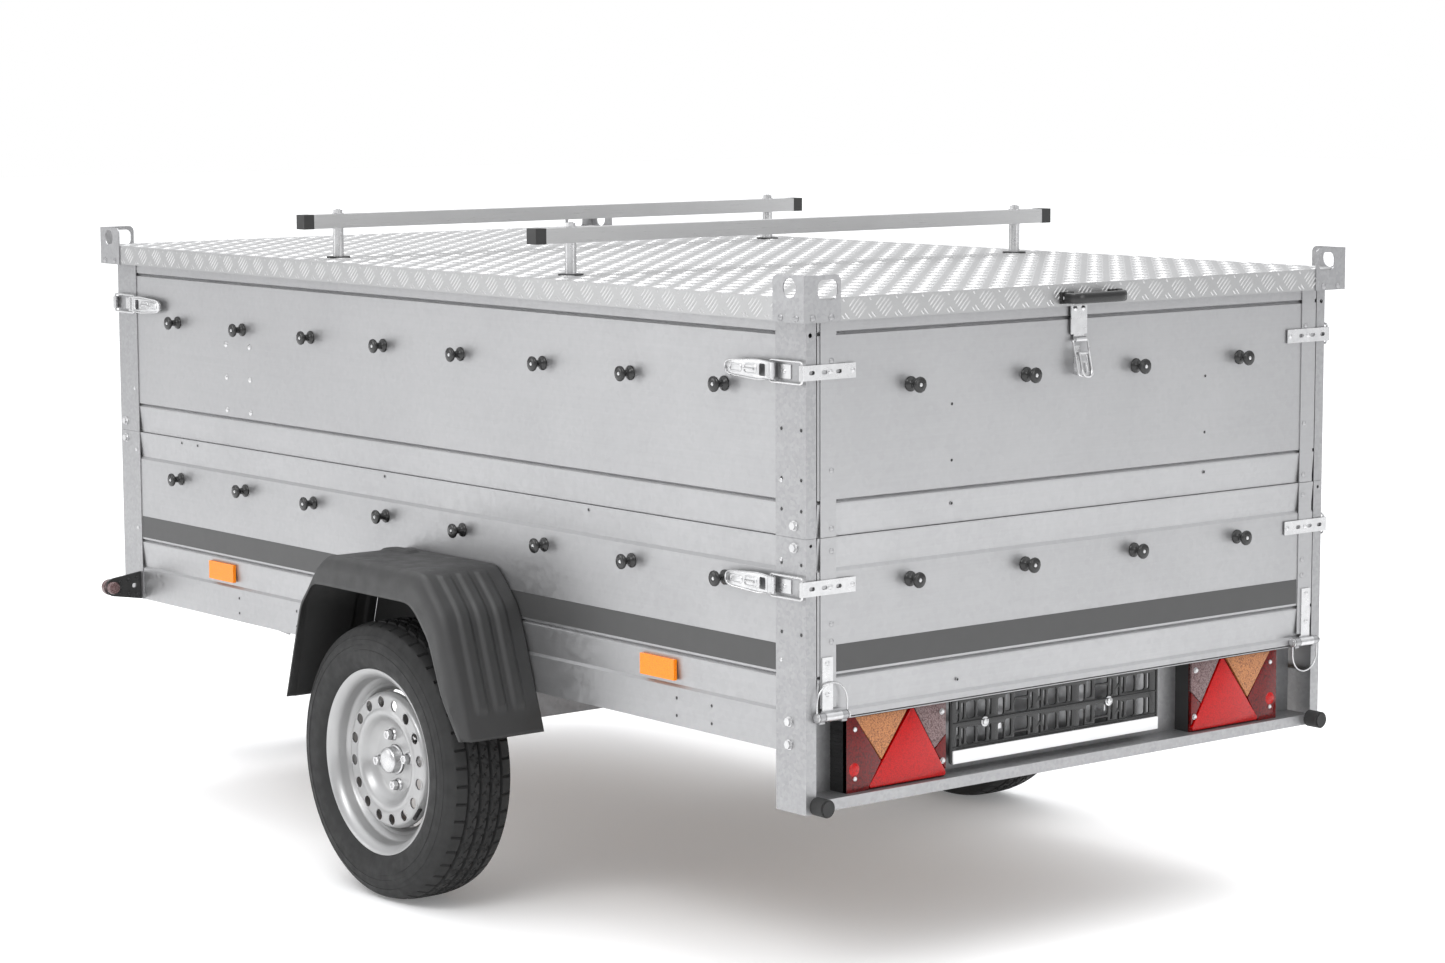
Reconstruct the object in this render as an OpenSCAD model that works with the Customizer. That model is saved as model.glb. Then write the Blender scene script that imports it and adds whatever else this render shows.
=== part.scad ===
// Two-tier galvanised box trailer: lower load box on an A-frame drawbar and a sprung axle,
// bolted upper extension, hinged checker-plate lid with two load bars, drop-down tailgate.
// +X points to the rear, +Y to the right of the trailer, +Z up; the wheels stand on z = 0.

/* [Load box] */
// Length of the box over its corner posts
box_l = 2360; // [1900:10:2900]
// Width of the box over its corner posts
box_w = 1302; // [1050:2:1560]
// Height of the lower tier, rail bottom to seam
lower_h = 373; // [340:1:450]
// Height of the upper tier above the seam
upper_h = 400; // [330:1:480]
// Thickness of the pressed steel sheet
sheet = 1.5; // [1:0.25:2]

/* [Pressed panels] */
// Depth of the pressed grooves
groove = 5; // [3:0.5:6]
// Height of one pressed groove
groove_h = 7; // [5:0.5:9]
// Inward lean of the bands between grooves
lean = 4; // [2:0.5:5]
// Height of the top band of the upper tier
rim_h = 49; // [40:1:60]
// Height of the bottom band of the upper tier
foot_h = 64; // [50:1:80]
// Height of the top band of the lower tier
ridge_h = 58; // [50:1:70]
// Seam to the upper pressed line above the rail
belt_z = 240; // [225:1:250]
// Seam to the lower pressed line above the rail
sill_z = 302; // [295:1:320]
// Width of folded lips
lip_w = 20; // [14:1:24]
// Thickness of the drop tailgate at its folds
gate_t = 25; // [20:1:30]

/* [Corner posts] */
// Width of a post on the side of the box
post_w = 80; // [70:1:90]
// Width of the fold of a rear post
post_fold = 23; // [18:1:28]
// Thickness of the post sheet
post_t = 2; // [1.5:0.25:3]
// Drop of the rear posts below the rail
post_drop = 104; // [90:1:130]
// Width of the riveted edge channels
channel_w = 35; // [30:1:40]

/* [Running gear] */
// Outer radius of the tyre
tyre_r = 272; // [262:1:290]
// Width of the tyre over its walls
tyre_w = 155; // [140:1:165]
// Radius of the rim flange
rim_r = 182.5; // [180:0.5:185]
// Rim width over its flanges
rim_w = 134; // [120:1:140]
// Distance of the tyre centre outside the box
track_out = 93; // [88:1:100]
// Distance of the wheel centre ahead of the rear face
wheel_back = 1094; // [950:2:1250]
// Height of the wheel centre below the rail
rail_up = 161; // [150:1:190]
// Length of the trailing arm
arm_l = 150; // [130:1:170]
// Height of the arm pivot above the wheel centre
arm_rise = 50; // [40:1:60]
// Side of the square axle tube
axle_s = 70; // [60:1:80]
// Radius of the arm shaft
arm_shaft_r = 20; // [16:1:24]
// Radius of the stub axle
stub_r = 15; // [12:0.5:18]

/* [Drawbar] */
// Ball centre ahead of the box
drawbar_reach = 950; // [800:10:1200]
// Side of the square drawbar tubes
bar_s = 60; // [50:1:70]
// Wall of the drawbar tubes
bar_wall = 3; // [2:0.5:4]
// How far the drawbar tubes run back under the box
drawbar_under = 690; // [600:10:760]
// Radius of the coupling's ball socket
ball_r = 25.1; // [25.05:0.05:25.3]

/* [Jockey wheel] */
// Radius of the outer tube
jockey_r = 24; // [22:1:30]
// Radius of the jockey wheel
jockey_wheel_r = 100; // [80:1:110]
// Jockey tube ahead of the box
jockey_ahead = 160; // [145:5:300]
// Travel of the inner tube
jockey_travel = 110; // [80:5:115]

/* [Lid] */
// Overhang of the lid past the posts
overhang = 24; // [18:1:28]
// Height of the lid's turned-down flange
flange_h = 40; // [32:1:46]
// Reach of the lid's rear grip
grip_out = 36; // [28:1:44]
// Thickness of the checker plate
plate_t = 2; // [1.5:0.5:3]
// Lid top above the upper tier's rim
lid_rise = 10; // [8:1:14]
// Side of the lid's frame tubes
frame_s = 25; // [20:1:27]
// Width of a corner eye's leaf
eye_w = 82; // [70:1:90]
// Height of a corner eye
eye_h = 80; // [74:1:92]
// Radius of the round hole in a corner eye
eye_r = 17; // [12:1:18]
// Thickness of the corner eyes
eye_t = 2.5; // [2:0.5:3]
// Opening angle of the lid
lid_open = 45; // [35:1:50]

/* [Load bars] */
// Side of the square load bars
load_bar = 28.5; // [25:0.5:40]
// Load bar height above the lid
bar_gap = 61; // [45:1:80]
// Overhang of the bars past the box
bar_over = 9; // [0:1:40]
// Rear bar ahead of the rear face
bar_rear = 776; // [650:2:900]
// Front bar ahead of the rear face
bar_front = 1580; // [1450:2:1750]
// Distance of the bar posts inside the box sides
bar_inset = 81; // [65:1:110]

/* [Latches] */
// Height of the upper latches above the seam
latch_up = 283; // [240:1:310]
// Depth of the lower latches below the seam
latch_low = 85; // [78:1:110]
// Length of a latch frame
latch_l = 84; // [70:1:95]
// Half height of a latch frame
latch_half = 19; // [16:1:22]
// Radius of the latch wire
wire_r = 2.2; // [1.8:0.1:2.4]
// Length of a latch lever
lever_l = 122; // [100:1:126]
// Length of a latch strap on the rear face
strap_l = 108; // [90:1:120]

/* [Tailgate hinges] */
// Depth of the tailgate hinge line below the seam
hinge_z = 308; // [306:1:316]
// Radius of the tailgate hinge pins
pin_r = 5; // [4:0.5:6]

/* [Mudguards] */
// Width of a mudguard outside the box
guard_w = 185; // [178:1:200]
// Thickness of the mudguard
guard_t = 3; // [2.5:0.5:4]

/* [Hidden] */

$fn = 64;
steel = "silver";
gap = 0.5;           // clearance between pieces that move past each other
run = 0.08;          // radial clearance of a running fit
buffer_out = 32;     // rubber buffers past the rear face
rear_out = overhang + grip_out;             // rearmost piece past the rear face
nose = 45;           // coupling nose ahead of the ball centre

total_l = rear_out + box_l + drawbar_reach + nose;
rx = total_l / 2 - rear_out;              // rear face of the posts
fx = rx - box_l;                            // front face of the posts
ly = -box_w / 2;                            // left face of the posts
rail_z = tyre_r + rail_up;                  // bottom of the side rails
sz = rail_z + lower_h;                      // seam between the tiers
rim_z = sz + upper_h;                       // rim of the upper tier
lid_z = rim_z + lid_rise;                   // top of the lid
flange_z = lid_z - flange_h;                // lower edge of the lid flange
skin = post_t;                              // panels sit behind the post sheet
wheel_x = rx - wheel_back;
wheel_y = ly - track_out;
pivot_x = wheel_x - sqrt(arm_l * arm_l - arm_rise * arm_rise);
pivot_z = tyre_r + arm_rise;
floor_z = sz - sill_z + groove;             // top of the floor
floor_t = 9;
apex_x = fx - drawbar_reach;                // ball centre
arm_spread = -ly - bar_s / 2 - 5;           // drawbar tube centre at its rear end
arm_run = drawbar_reach + drawbar_under;
arm_angle = atan2(arm_spread, arm_run);
knob_pitch = 269;

// ---------- general helpers ----------

module both_sides() {
  children();
  mirror([0, 1, 0]) children();
}

module block(low, high) {
  translate(low) cube(high - low);
}

module rod_x(r, x0, x1, y, z) {
  translate([x0, y, z]) rotate([0, 90, 0]) cylinder(r = r, h = x1 - x0);
}

module rod_y(r, y0, y1, x, z) {
  translate([x, y1, z]) rotate([90, 0, 0]) cylinder(r = r, h = y1 - y0);
}

module rod_z(r, z0, z1, x, y) {
  translate([x, y, z0]) cylinder(r = r, h = z1 - z0);
}

// A [depth, height] outline pressed from sheet, as a closed polygon
function pressed(face, t) =
  concat(face, [for (i = [len(face) - 1:-1:0]) [face[i][0] + t, face[i][1]]]);

// Extrude a [y, z] outline along X from x0 to x1
module along_x(x0, x1, outline) {
  translate([x0, 0, 0]) rotate([90, 0, 90]) linear_extrude(x1 - x0) polygon(outline);
}

// Extrude an [x, z] outline along Y from y0 to y1
module along_y(y0, y1, outline) {
  translate([0, y1, 0]) rotate([90, 0, 0]) linear_extrude(y1 - y0) polygon(outline);
}

function moved(face, d, z) = [for (p = face) [p[0] + d, p[1] + z]];
function flipped(face, d) = [for (p = face) [d - p[0], p[1]]];

// A groove whose lower flank ends at height z
function groove_at(z) = [[0, z + groove_h], [groove, z + groove_h - 3], [0, z]];

flat = 3;                                   // upright edge where a leaning band begins
upper_face = concat(
  [[0, upper_h]], groove_at(upper_h - rim_h - groove_h), groove_at(foot_h - groove_h),
  [[0, foot_h - groove_h - flat], [lean, gap]]);
lower_face = concat(
  [[0, -gap], [0, -gap - flat], [lean, 4 - ridge_h], [0, -ridge_h - 2]], groove_at(-belt_z - 5),
  [[0, -belt_z - 5 - flat], [lean, 3 - sill_z], [0, -sill_z - 2]]);
rail_face = concat(lower_face, [[0, -lower_h]]);
gate_low = hinge_z + 6;                     // lower edge of the tailgate below the seam
gate_face = concat(lower_face, [[0, -gate_low]]);

// ---------- load box ----------

module lower_side_panels() {
  color(steel) both_sides() {
    along_x(fx + post_t, rx - post_t, moved(pressed(rail_face, sheet), ly + skin, sz));
    block([fx + post_t, ly + skin + sheet, rail_z], [rx - post_t, ly + skin + lip_w, rail_z + sheet]);
    block([fx + post_t, ly + skin + sheet, sz - gap - sheet],
      [rx - post_t - gate_t - 2, ly + skin + lip_w, sz - gap]);
  }
}

module upper_side_panels() {
  color(steel) both_sides() {
    along_x(fx + post_t, rx - post_t, moved(pressed(upper_face, sheet), ly + skin, sz));
    block([fx + post_t, ly + skin + sheet, rim_z - sheet], [rx - post_t, ly + skin + lip_w, rim_z]);
    block([fx + post_t, ly + skin + lean + sheet, sz + gap],
      [rx - post_t, ly + skin + lip_w, sz + gap + sheet]);
  }
}

// Inner faces of the side panels, where the cross panels end
inner_y = ly + skin + lip_w + 2;

module front_panels() {
  color(steel) {
    for (face = [upper_face, rail_face])
      along_y(inner_y, -inner_y, [for (p = pressed(face, sheet)) [fx + skin + p[0], sz + p[1]]]);
    block([fx + skin + sheet, inner_y, rim_z - sheet], [fx + skin + lip_w, -inner_y, rim_z]);
    block([fx + skin + sheet, inner_y, rail_z], [fx + skin + lip_w, -inner_y, rail_z + sheet]);
  }
}

// Cross panel behind the rear faces: y span between the post folds
gate_y = ly + post_fold + 2;

module edge_channel(z0, z1) {
  block([rx, gate_y + 6, z0], [rx + post_t, gate_y + 6 + channel_w, z1]);
}

// Folded end of a cross panel, from its pressed face to a depth
module end_plate(face, deep) {
  ends = [[deep, face[len(face) - 1][1]], [deep, face[0][1]]];
  along_y(gate_y, gate_y + sheet, [for (p = concat(face, ends)) [rx - p[0], sz + p[1]]]);
}

module rivet_x(x, y, z, r = 5) {
  translate([x, y, z]) rotate([0, 90, 0]) intersection() {
    cylinder(r = r, h = r * 0.7);
    translate([0, 0, -r * 0.7]) sphere(r = r * 1.3);
  }
}

module upper_rear_panel() {
  color(steel) {
    along_y(gate_y, -gate_y, [for (p = pressed(upper_face, sheet)) [rx - p[0], sz + p[1]]]);
    block([rx - lip_w, gate_y, rim_z - sheet], [rx - sheet, -gate_y, rim_z]);
    both_sides() {
      end_plate(upper_face, lip_w);
      edge_channel(sz + gap, rim_z - 1);
      for (z = [15, foot_h + 50, upper_h - rim_h - 50])
        rivet_x(rx + post_t, gate_y + 6 + channel_w * 0.7, sz + z);
    }
  }
}

module post(z0, z1, end_x, into) {
  block([min(end_x, end_x - into * post_w), ly, z0], [max(end_x, end_x - into * post_w), ly + post_t, z1]);
  block([min(end_x, end_x - into * post_t), ly, z0],
    [max(end_x, end_x - into * post_t), ly + post_fold, z1]);
}

module corner_posts() {
  color(steel) both_sides() {
    difference() {
      union() {
        post(rail_z - post_drop, sz - gap / 2, rx, 1);
        block([rx - post_w, ly + post_t, rail_z - post_drop],
          [rx, ly + post_fold, rail_z - post_drop + post_t]);
      }
      rod_x(3, rx - 9, rx + 1, ly + 11, sz - 12);
    }
    difference() {
      post(sz + gap / 2, rim_z, rx, 1);
      rod_x(4, rx - 9, rx + 1, ly + 10, rim_z - 54);
    }
    post(rail_z, sz - gap / 2, fx, -1);
    post(sz + gap / 2, rim_z, fx, -1);
  }
}

module floor_panel() {
  color("peru")
    block([fx + skin + sheet + lean + gap, ly + skin + sheet + groove + 1, floor_z - floor_t],
      [rx - gate_t - 4, -ly - skin - sheet - groove - 1, floor_z]);
}

member_w = 40;

module channel_y(x, z0, z1, y) {
  difference() {
    block([x, y, z0], [x + member_w, -y, z1]);
    block([x + 3, y - 1, z0 + 3], [x + member_w + 1, -y + 1, z1 - 3]);
  }
}

module cross_members() {
  color(steel) {
    for (x = [fx + 120, fx + drawbar_under - 80, pivot_x - member_w / 2, rx - 420])
      channel_y(x, rail_z + sheet, floor_z - floor_t, ly + skin + sheet + 2);
  }
}

// ---------- drawbar ----------

// The arms taper towards their rear ends under the box
arm_end = apex_x + arm_run - 10;
arm_taper = drawbar_under - 60;

module drawbar_tube() {
  difference() {
    translate([apex_x, 0, rail_z - bar_s]) rotate([0, 0, -arm_angle]) difference() {
      block([-20, -bar_s / 2, 0], [arm_run / cos(arm_angle), bar_s / 2, bar_s]);
      block([-21, -bar_s / 2 + bar_wall, bar_wall],
        [arm_run / cos(arm_angle) + 1, bar_s / 2 - bar_wall, bar_s - bar_wall]);
    }
    block([apex_x - 60, 0, 0], [apex_x + 400, 200, sz]);
    block([apex_x - 60, -200, 0], [apex_x + coupling_back, 200, sz]);
    rod_z(6, rail_z - bar_s - 1, rail_z + 1, apex_x + arm_run - 24, -arm_spread + 9);
    along_y(ly - 60, 0, [[arm_end - arm_taper, rail_z - bar_s - 1], [arm_end + 80, rail_z - bar_s - 1],
      [arm_end + 80, rail_z - 5], [arm_end, rail_z - 5]]);
  }
}

module drawbar_arm_left() {
  color(steel) drawbar_tube();
}

module drawbar_arm_right() {
  color(steel) mirror([0, 1, 0]) drawbar_tube();
}

coupling_back = 70;                         // start of the drawbar tubes behind the ball centre
head_r = 34;
head_z = rail_z + 30;                       // ball centre height
saddle_t = 6;
saddle_w = 76;

module coupling_head() {
  color("silver") difference() {
    union() {
      translate([apex_x, 0, head_z]) sphere(r = head_r);
      rod_z(head_r, head_z - 22, head_z, apex_x, 0);
      block([apex_x, -24, head_z - 22], [apex_x + 150, 24, head_z + 18]);
      block([apex_x + 60, -saddle_w / 2, rail_z], [apex_x + 230, saddle_w / 2, rail_z + saddle_t]);
      block([apex_x + 60, -24, rail_z], [apex_x + 150, 24, head_z]);
      rod_x(9, apex_x - nose, apex_x - 20, 0, head_z + 4);
    }
    translate([apex_x, 0, head_z]) sphere(r = ball_r);
    rod_z(ball_r, head_z - 40, head_z, apex_x, 0);
    block([apex_x + 50, -18, rail_z - 1], [apex_x + 144, 18, head_z + 12]);
    block([apex_x + 60, -10.5, head_z + 5], [apex_x + 140, 10.5, head_z + 30]);
    rod_y(4 + run, -30, 30, apex_x + 118, head_z + 8);
  }
  color("lightgray") for (x = [175, 215], y = [-26, 26])
    translate([apex_x + x, y, rail_z + saddle_t]) cylinder(r = 10, h = 7, $fn = 6);
}

module coupling_handle() {
  color("dimgray") {
    rod_y(4, -24, 24, apex_x + 118, head_z + 8);
    block([apex_x + 112, -10, head_z + 8], [apex_x + 124, 10, head_z + 32]);
    hull() {
      block([apex_x + 104, -10, head_z + 24], [apex_x + 124, 10, head_z + 36]);
      block([apex_x - 8, -13, head_z + 46], [apex_x + 4, 13, head_z + 56]);
    }
    rod_y(7, -13, 13, apex_x - 10, head_z + 52);
  }
}

// ---------- running gear ----------

axle_y = ly + 34;                           // outer end of the axle tube
arm_out = ly - 4;                           // outer face of the trailing arm
arm_in = ly + 26;

module axle_beam() {
  color(steel) {
    difference() {
      block([pivot_x - axle_s / 2, axle_y, pivot_z - axle_s / 2],
        [pivot_x + axle_s / 2, -axle_y, pivot_z + axle_s / 2]);
      rod_y(arm_shaft_r + run, axle_y - 1, -axle_y + 1, pivot_x, pivot_z);
    }
    both_sides() difference() {
      block([pivot_x - 60, axle_y + 4, pivot_z + axle_s / 2], [pivot_x + 60, axle_y + 12, rail_z]);
      rod_y(7, axle_y, axle_y + 20, pivot_x - 40, rail_z - 16);
      rod_y(7, axle_y, axle_y + 20, pivot_x + 40, rail_z - 16);
    }
    both_sides() block([pivot_x - 60, ly + skin, rail_z - 6], [pivot_x + 60, axle_y + 4, rail_z]);
  }
}

module suspension_arm() {
  boss = arm_shaft_r + 8;
  rod_y(arm_shaft_r, arm_in - 5, axle_y + 160, pivot_x, pivot_z);
  translate([pivot_x, arm_in, pivot_z]) rotate([90, 0, 0]) linear_extrude(arm_in - arm_out) difference() {
    union() {
      circle(r = boss);
      translate([wheel_x - pivot_x, -arm_rise]) circle(r = boss);
      rotate(-atan2(arm_rise, wheel_x - pivot_x)) translate([0, -boss * 0.8]) square([arm_l, boss * 1.6]);
    }
    translate([(wheel_x - pivot_x) / 2, -arm_rise / 2]) circle(r = 6);
  }
  rod_y(stub_r, wheel_y - 38, arm_out + 5, wheel_x, tyre_r);
}

module suspension_arm_left() {
  color("darkgray") suspension_arm();
}

module suspension_arm_right() {
  color("darkgray") mirror([0, 1, 0]) suspension_arm();
}

// The wheel is drawn about its own axis; the outboard side is +Z and w = 0 is the tyre centre
module at_wheel() {
  translate([wheel_x, wheel_y, tyre_r]) rotate([90, 0, 0]) children();
}

bolt_circle = 49;
mount_w = 20;                               // mounting face of the disc outside the tyre centre
hub_in = -52;                               // inner end of the hub

module ring(points) {
  rotate_extrude() polygon(points);
}

module hub() {
  at_wheel() {
    ring([[stub_r + run, hub_in], [32, hub_in], [32, mount_w - 12], [62, mount_w - 12], [62, mount_w],
      [28, mount_w], [28, mount_w + 4], [24, mount_w + 22], [16, mount_w + 27], [0, mount_w + 28],
      [0, mount_w + 21], [stub_r + run, mount_w + 21]]);
    for (a = [0:90:270]) rotate([0, 0, a + 10]) translate([bolt_circle, 0, mount_w + rim_t]) {
      cylinder(r = 11, h = 6);
      translate([0, 0, 6]) cylinder(r = 9.5, h = 10, $fn = 6);
    }
  }
}

module hub_left() {
  color("gainsboro") hub();
}

module hub_right() {
  color("gainsboro") mirror([0, 1, 0]) hub();
}

rim_t = 3;
vent_circle = 113;
half_rim = rim_w / 2;
seat_r = rim_r - 17.5;
well_r = seat_r - 27;

module rim() {
  at_wheel() {
    ring([[rim_r, half_rim], [rim_r, half_rim - rim_t], [seat_r + 2, half_rim - 12],
      [seat_r, half_rim - 30], [well_r, 18], [well_r, -8], [seat_r, -half_rim + 30],
      [seat_r + 2, -half_rim + 12],
      [rim_r, -half_rim + rim_t], [rim_r, -half_rim], [rim_r - 6, -half_rim],
      [seat_r - rim_t, -half_rim + 10], [seat_r - rim_t, -half_rim + 31], [well_r - rim_t, -9],
      [well_r - rim_t, 19],
      [seat_r - rim_t, half_rim - 31], [seat_r - rim_t, half_rim - 10], [rim_r - 6, half_rim]]);
    difference() {
      ring([[64, mount_w], [68, mount_w], [80, mount_w + 8], [90, mount_w + 24], [104, mount_w + 27],
        [124, mount_w + 25], [well_r - rim_t - 1, 24], [well_r - rim_t, 8], [well_r - rim_t - 4, 8],
        [well_r - rim_t - 5, 22], [121, mount_w + 21], [104, mount_w + 23], [93, mount_w + 20],
        [84, mount_w + 4], [70, mount_w - 3], [64, mount_w - 3]]);
      for (a = [0:22.5:359]) rotate([0, 0, a]) translate([vent_circle, 0, mount_w]) cylinder(r = 10, h = 40);
    }
    rim_disc_face();
  }
}

// Flat centre of the disc, clamped between the hub flange and the bolts
module rim_disc_face() {
  difference() {
    translate([0, 0, mount_w]) cylinder(r = 70, h = rim_t);
    translate([0, 0, mount_w - 1]) cylinder(r = 29, h = 10);
    for (a = [0:90:270]) rotate([0, 0, a + 10]) translate([bolt_circle, 0, mount_w - 1])
      cylinder(r = 7, h = 10);
  }
}

module rim_left() {
  color("gainsboro") rim();
}

module rim_right() {
  color("gainsboro") mirror([0, 1, 0]) rim();
}

module tyre() {
  half = tyre_w / 2;
  crown = tyre_r - rim_r;
  wall = [[seat_r + 0.6, half_rim - 29], [seat_r + 2.5, half_rim - 12.8],
    [rim_r - 0.5, half_rim - rim_t - 0.9], [rim_r + 0.5, half_rim - rim_t], [rim_r + 1.5, half_rim + 3],
    [rim_r + crown * 0.25, half - 1], [rim_r + crown * 0.4, half], [rim_r + crown * 0.65, half - 3],
    [tyre_r - 12, half - 12], [tyre_r - 5, half - 21], [tyre_r - 1, half - 36]];
  lining = [[tyre_r - 12, half - 40], [tyre_r - 22, half - 16], [rim_r + 14, half - 14],
    [seat_r + 8, half_rim - 27]];
  at_wheel() ring(concat(wall, [[tyre_r, 0]], [for (i = [len(wall) - 1:-1:0]) [wall[i][0], -wall[i][1]]],
    [for (i = [len(lining) - 1:-1:0]) [lining[i][0], -lining[i][1]]], [[tyre_r - 11, 0]], lining));
}

module tyre_left() {
  color("dimgray") tyre();
}

module tyre_right() {
  color("dimgray") mirror([0, 1, 0]) tyre();
}

// Mudguard side view, measured from the wheel centre: front, top and rear slopes
guard_top = 394;
function widened(line) = [for (p = line) [p[0] * tyre_r / 272, p[1]]];
guard_line = widened([[-292, 91], [-236, 291], [-145, 390], [-120, guard_top], [170, guard_top], [195, 386],
  [257, 322], [335, 91]]);
arch_line = widened([[-284, 91], [-226, 280], [-182, 331], [160, 331], [220, 268], [268, 160], [327, 91]]);

function inward(line, t) = [for (p = line) let (k = t / norm(p)) [p[0] * (1 - k), p[1] * (1 - k)]];

module guard_section(outline, y0, y1) {
  translate([wheel_x, y1, tyre_r]) rotate([90, 0, 0]) linear_extrude(y1 - y0) polygon(outline);
}

module mudguard() {
  inner = inward(guard_line, guard_t);
  guard_section(concat(guard_line, [for (i = [len(inner) - 1:-1:0]) inner[i]]), ly - guard_w, ly - 1);
  guard_section(concat(guard_line, [for (i = [len(arch_line) - 1:-1:0]) arch_line[i]]),
    ly - guard_w, ly - guard_w + guard_t);
  guard_section([[-120, 340], [170, 340], [170, guard_top - 1], [-120, guard_top - 1]],
    ly - 1 - guard_t, ly - 1);
  for (x = [-90, 140]) rod_y(6, ly - 1, ly + skin, wheel_x + x, tyre_r + 356);
}

module mudguard_left() {
  color("dimgray") mudguard();
}

module mudguard_right() {
  color("dimgray") mirror([0, 1, 0]) mudguard();
}

// ---------- rear lights ----------

beam_top = gate_low + 3;                    // lamp beam top below the seam
beam_low = lower_h + post_drop - post_t;    // lamp beam bottom below the seam
beam_deep = 60;
beam_t = 2;

module lamp_beam() {
  color(steel) {
    half = -ly - post_fold;
    block([rx - beam_deep, -half, sz - beam_low], [rx - beam_deep + beam_t, half, sz - beam_top]);
    block([rx - beam_deep, -half, sz - beam_top - beam_t], [rx - 4, half, sz - beam_top]);
    block([rx - beam_deep, -half, sz - beam_low + 18], [rx - beam_t, half, sz - beam_low + 18 + beam_t]);
    block([rx - beam_t, -half, sz - beam_low], [rx, half, sz - beam_low + 20]);
    both_sides() {
      hinge_lug(ly + 20, ly + 32);
      hinge_lug(ly + 70, ly + 82);
    }
  }
}

hinge_x = rx + 9;                           // tailgate hinge axis
lug_r = 8;

module hinge_lug(y0, y1) {
  difference() {
    union() {
      rod_y(lug_r, y0, y1, hinge_x, sz - hinge_z);
      block([hinge_x - 3, y0, sz - beam_top - beam_t], [hinge_x + 3, y1, sz - hinge_z]);
      block([rx - 8, max(y0, ly + post_fold), sz - beam_top - beam_t], [hinge_x + 3, y1, sz - beam_top]);
    }
    rod_y(pin_r + run, y0 - 1, y1 + 1, hinge_x, sz - hinge_z);
  }
}

lamp_l = 234;
plate_l = 528;
lamp_free = box_w - 2 * (lamp_l + post_fold) - plate_l;              // left over between the posts
lamp_y = ly + post_fold + lamp_free * 81 / 260;                      // outer end of a rear lamp
plate_y = lamp_y + lamp_l + lamp_free * 22 / 260;
lamp_top = beam_top + 4;
lamp_h = 134;
lamp_face = rx - 14;                        // rear face of the lenses
lens_t = 10;

module lamp_housings() {
  color("#222222") both_sides() {
    difference() {
      block([rx - beam_deep + beam_t, lamp_y, sz - lamp_top - lamp_h],
        [lamp_face - lens_t, lamp_y + lamp_l, sz - lamp_top]);
      block([lamp_face - lens_t - 20, lamp_y + 36, sz - lamp_top - lamp_h + 4],
        [lamp_face, lamp_y + lamp_l - 4, sz - lamp_top - 4]);
    }
    block([lamp_face - lens_t, lamp_y, sz - lamp_top - lamp_h], [lamp_face - 1, lamp_y + 32, sz - lamp_top]);
  }
}

module lamp_lenses() {
  color("red") both_sides()
    block([lamp_face - lens_t, lamp_y + 33, sz - lamp_top - lamp_h],
      [lamp_face, lamp_y + lamp_l, sz - lamp_top]);
}

module marker_lamps() {
  color("#222222") both_sides() {
    block([fx + 66, ly - 66, rail_z], [fx + 72, ly, rail_z + 62]);
    translate([fx + 52, ly - 72, rail_z + 31]) rotate([0, 90, 0]) cylinder(r = 18, h = 14);
    block([fx + 66, ly - 84, rail_z + 13], [fx + 72, ly - 66, rail_z + 49]);
  }
}

module side_reflectors() {
  color("orange") both_sides() for (x = [rx - 1982, rx - 459])
    block([x, ly - 5, sz - 291], [x + 100, ly + skin, sz - 253]);
}

module plate_holder() {
  color("#222222") {
    difference() {
      block([rx - 34, plate_y, sz - 440], [rx - 28, plate_y + plate_l, sz - 322]);
      for (i = [0:3], k = [0, 1])
        block([rx - 40, plate_y + 24 + i * 124, sz - 426 + k * 54],
          [rx - 20, plate_y + 108 + i * 124, sz - 388 + k * 54]);
    }
    for (y = [128, plate_l - 128])
      block([rx - beam_deep + beam_t, plate_y + y - 12, sz - 400], [rx - 34, plate_y + y + 12, sz - 370]);
    block([rx - 28, plate_y, sz - 440], [rx - 24, plate_y + plate_l, sz - 418]);
  }
}

module rubber_buffers() {
  color("#222222") both_sides() {
    rod_x(16, rx, rx + buffer_out - 3, ly + 24, sz - 463);
    rod_x(13, rx + buffer_out - 3, rx + buffer_out, ly + 24, sz - 463);
  }
}

// ---------- small parts of the box ----------

// Spool-shaped tarpaulin button standing on a face; its axis is +Z
module knob() {
  ring([[0, 0], [13, 0], [13, 3], [7, 6], [6, 16], [10, 20], [14, 22], [14, 26], [12, 27.5], [5, 27.5],
    [4, 25.5], [0, 25.5]]);
}

module knob_row_x(z) {
  pitch = knob_pitch * (box_l - 475) / 1885;
  for (i = [0:7]) translate([rx - 221 - i * pitch, ly + skin, sz + z]) rotate([90, 0, 0]) knob();
}

knob_up = upper_h - 149;
knob_low = -89;
knob_side = 237;                            // outer knobs of a cross row inside the box sides

module knob_row_y(x, z, turn) {
  for (i = [0:3])
    translate([x, ly + knob_side + i * (box_w - 2 * knob_side) / 3, sz + z]) rotate([0, turn, 0]) knob();
}

module fixed_knobs() {
  color("#222222") {
    both_sides() {
      knob_row_x(knob_up);
      knob_row_x(knob_low);
    }
    knob_row_y(rx, knob_up, 90);
    knob_row_y(fx + skin, knob_up, -90);
    knob_row_y(fx + skin, knob_low, -90);
  }
}

module hex_bolt_y(x, y, z) {
  translate([x, y, z]) rotate([90, 0, 0]) {
    cylinder(r = 9, h = 1.5);
    translate([0, 0, 1.5]) cylinder(r = 7.5, h = 5, $fn = 6);
  }
}

module rivet_y(x, y, z, r = 5) {
  translate([x, y, z]) rotate([90, 0, 0]) intersection() {
    cylinder(r = r, h = r * 0.7);
    translate([0, 0, -r * 0.7]) sphere(r = r * 1.3);
  }
}

strut_px = fx + 504;                        // strut pivot on the side panel
strut_pz = sz + 208;

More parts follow.
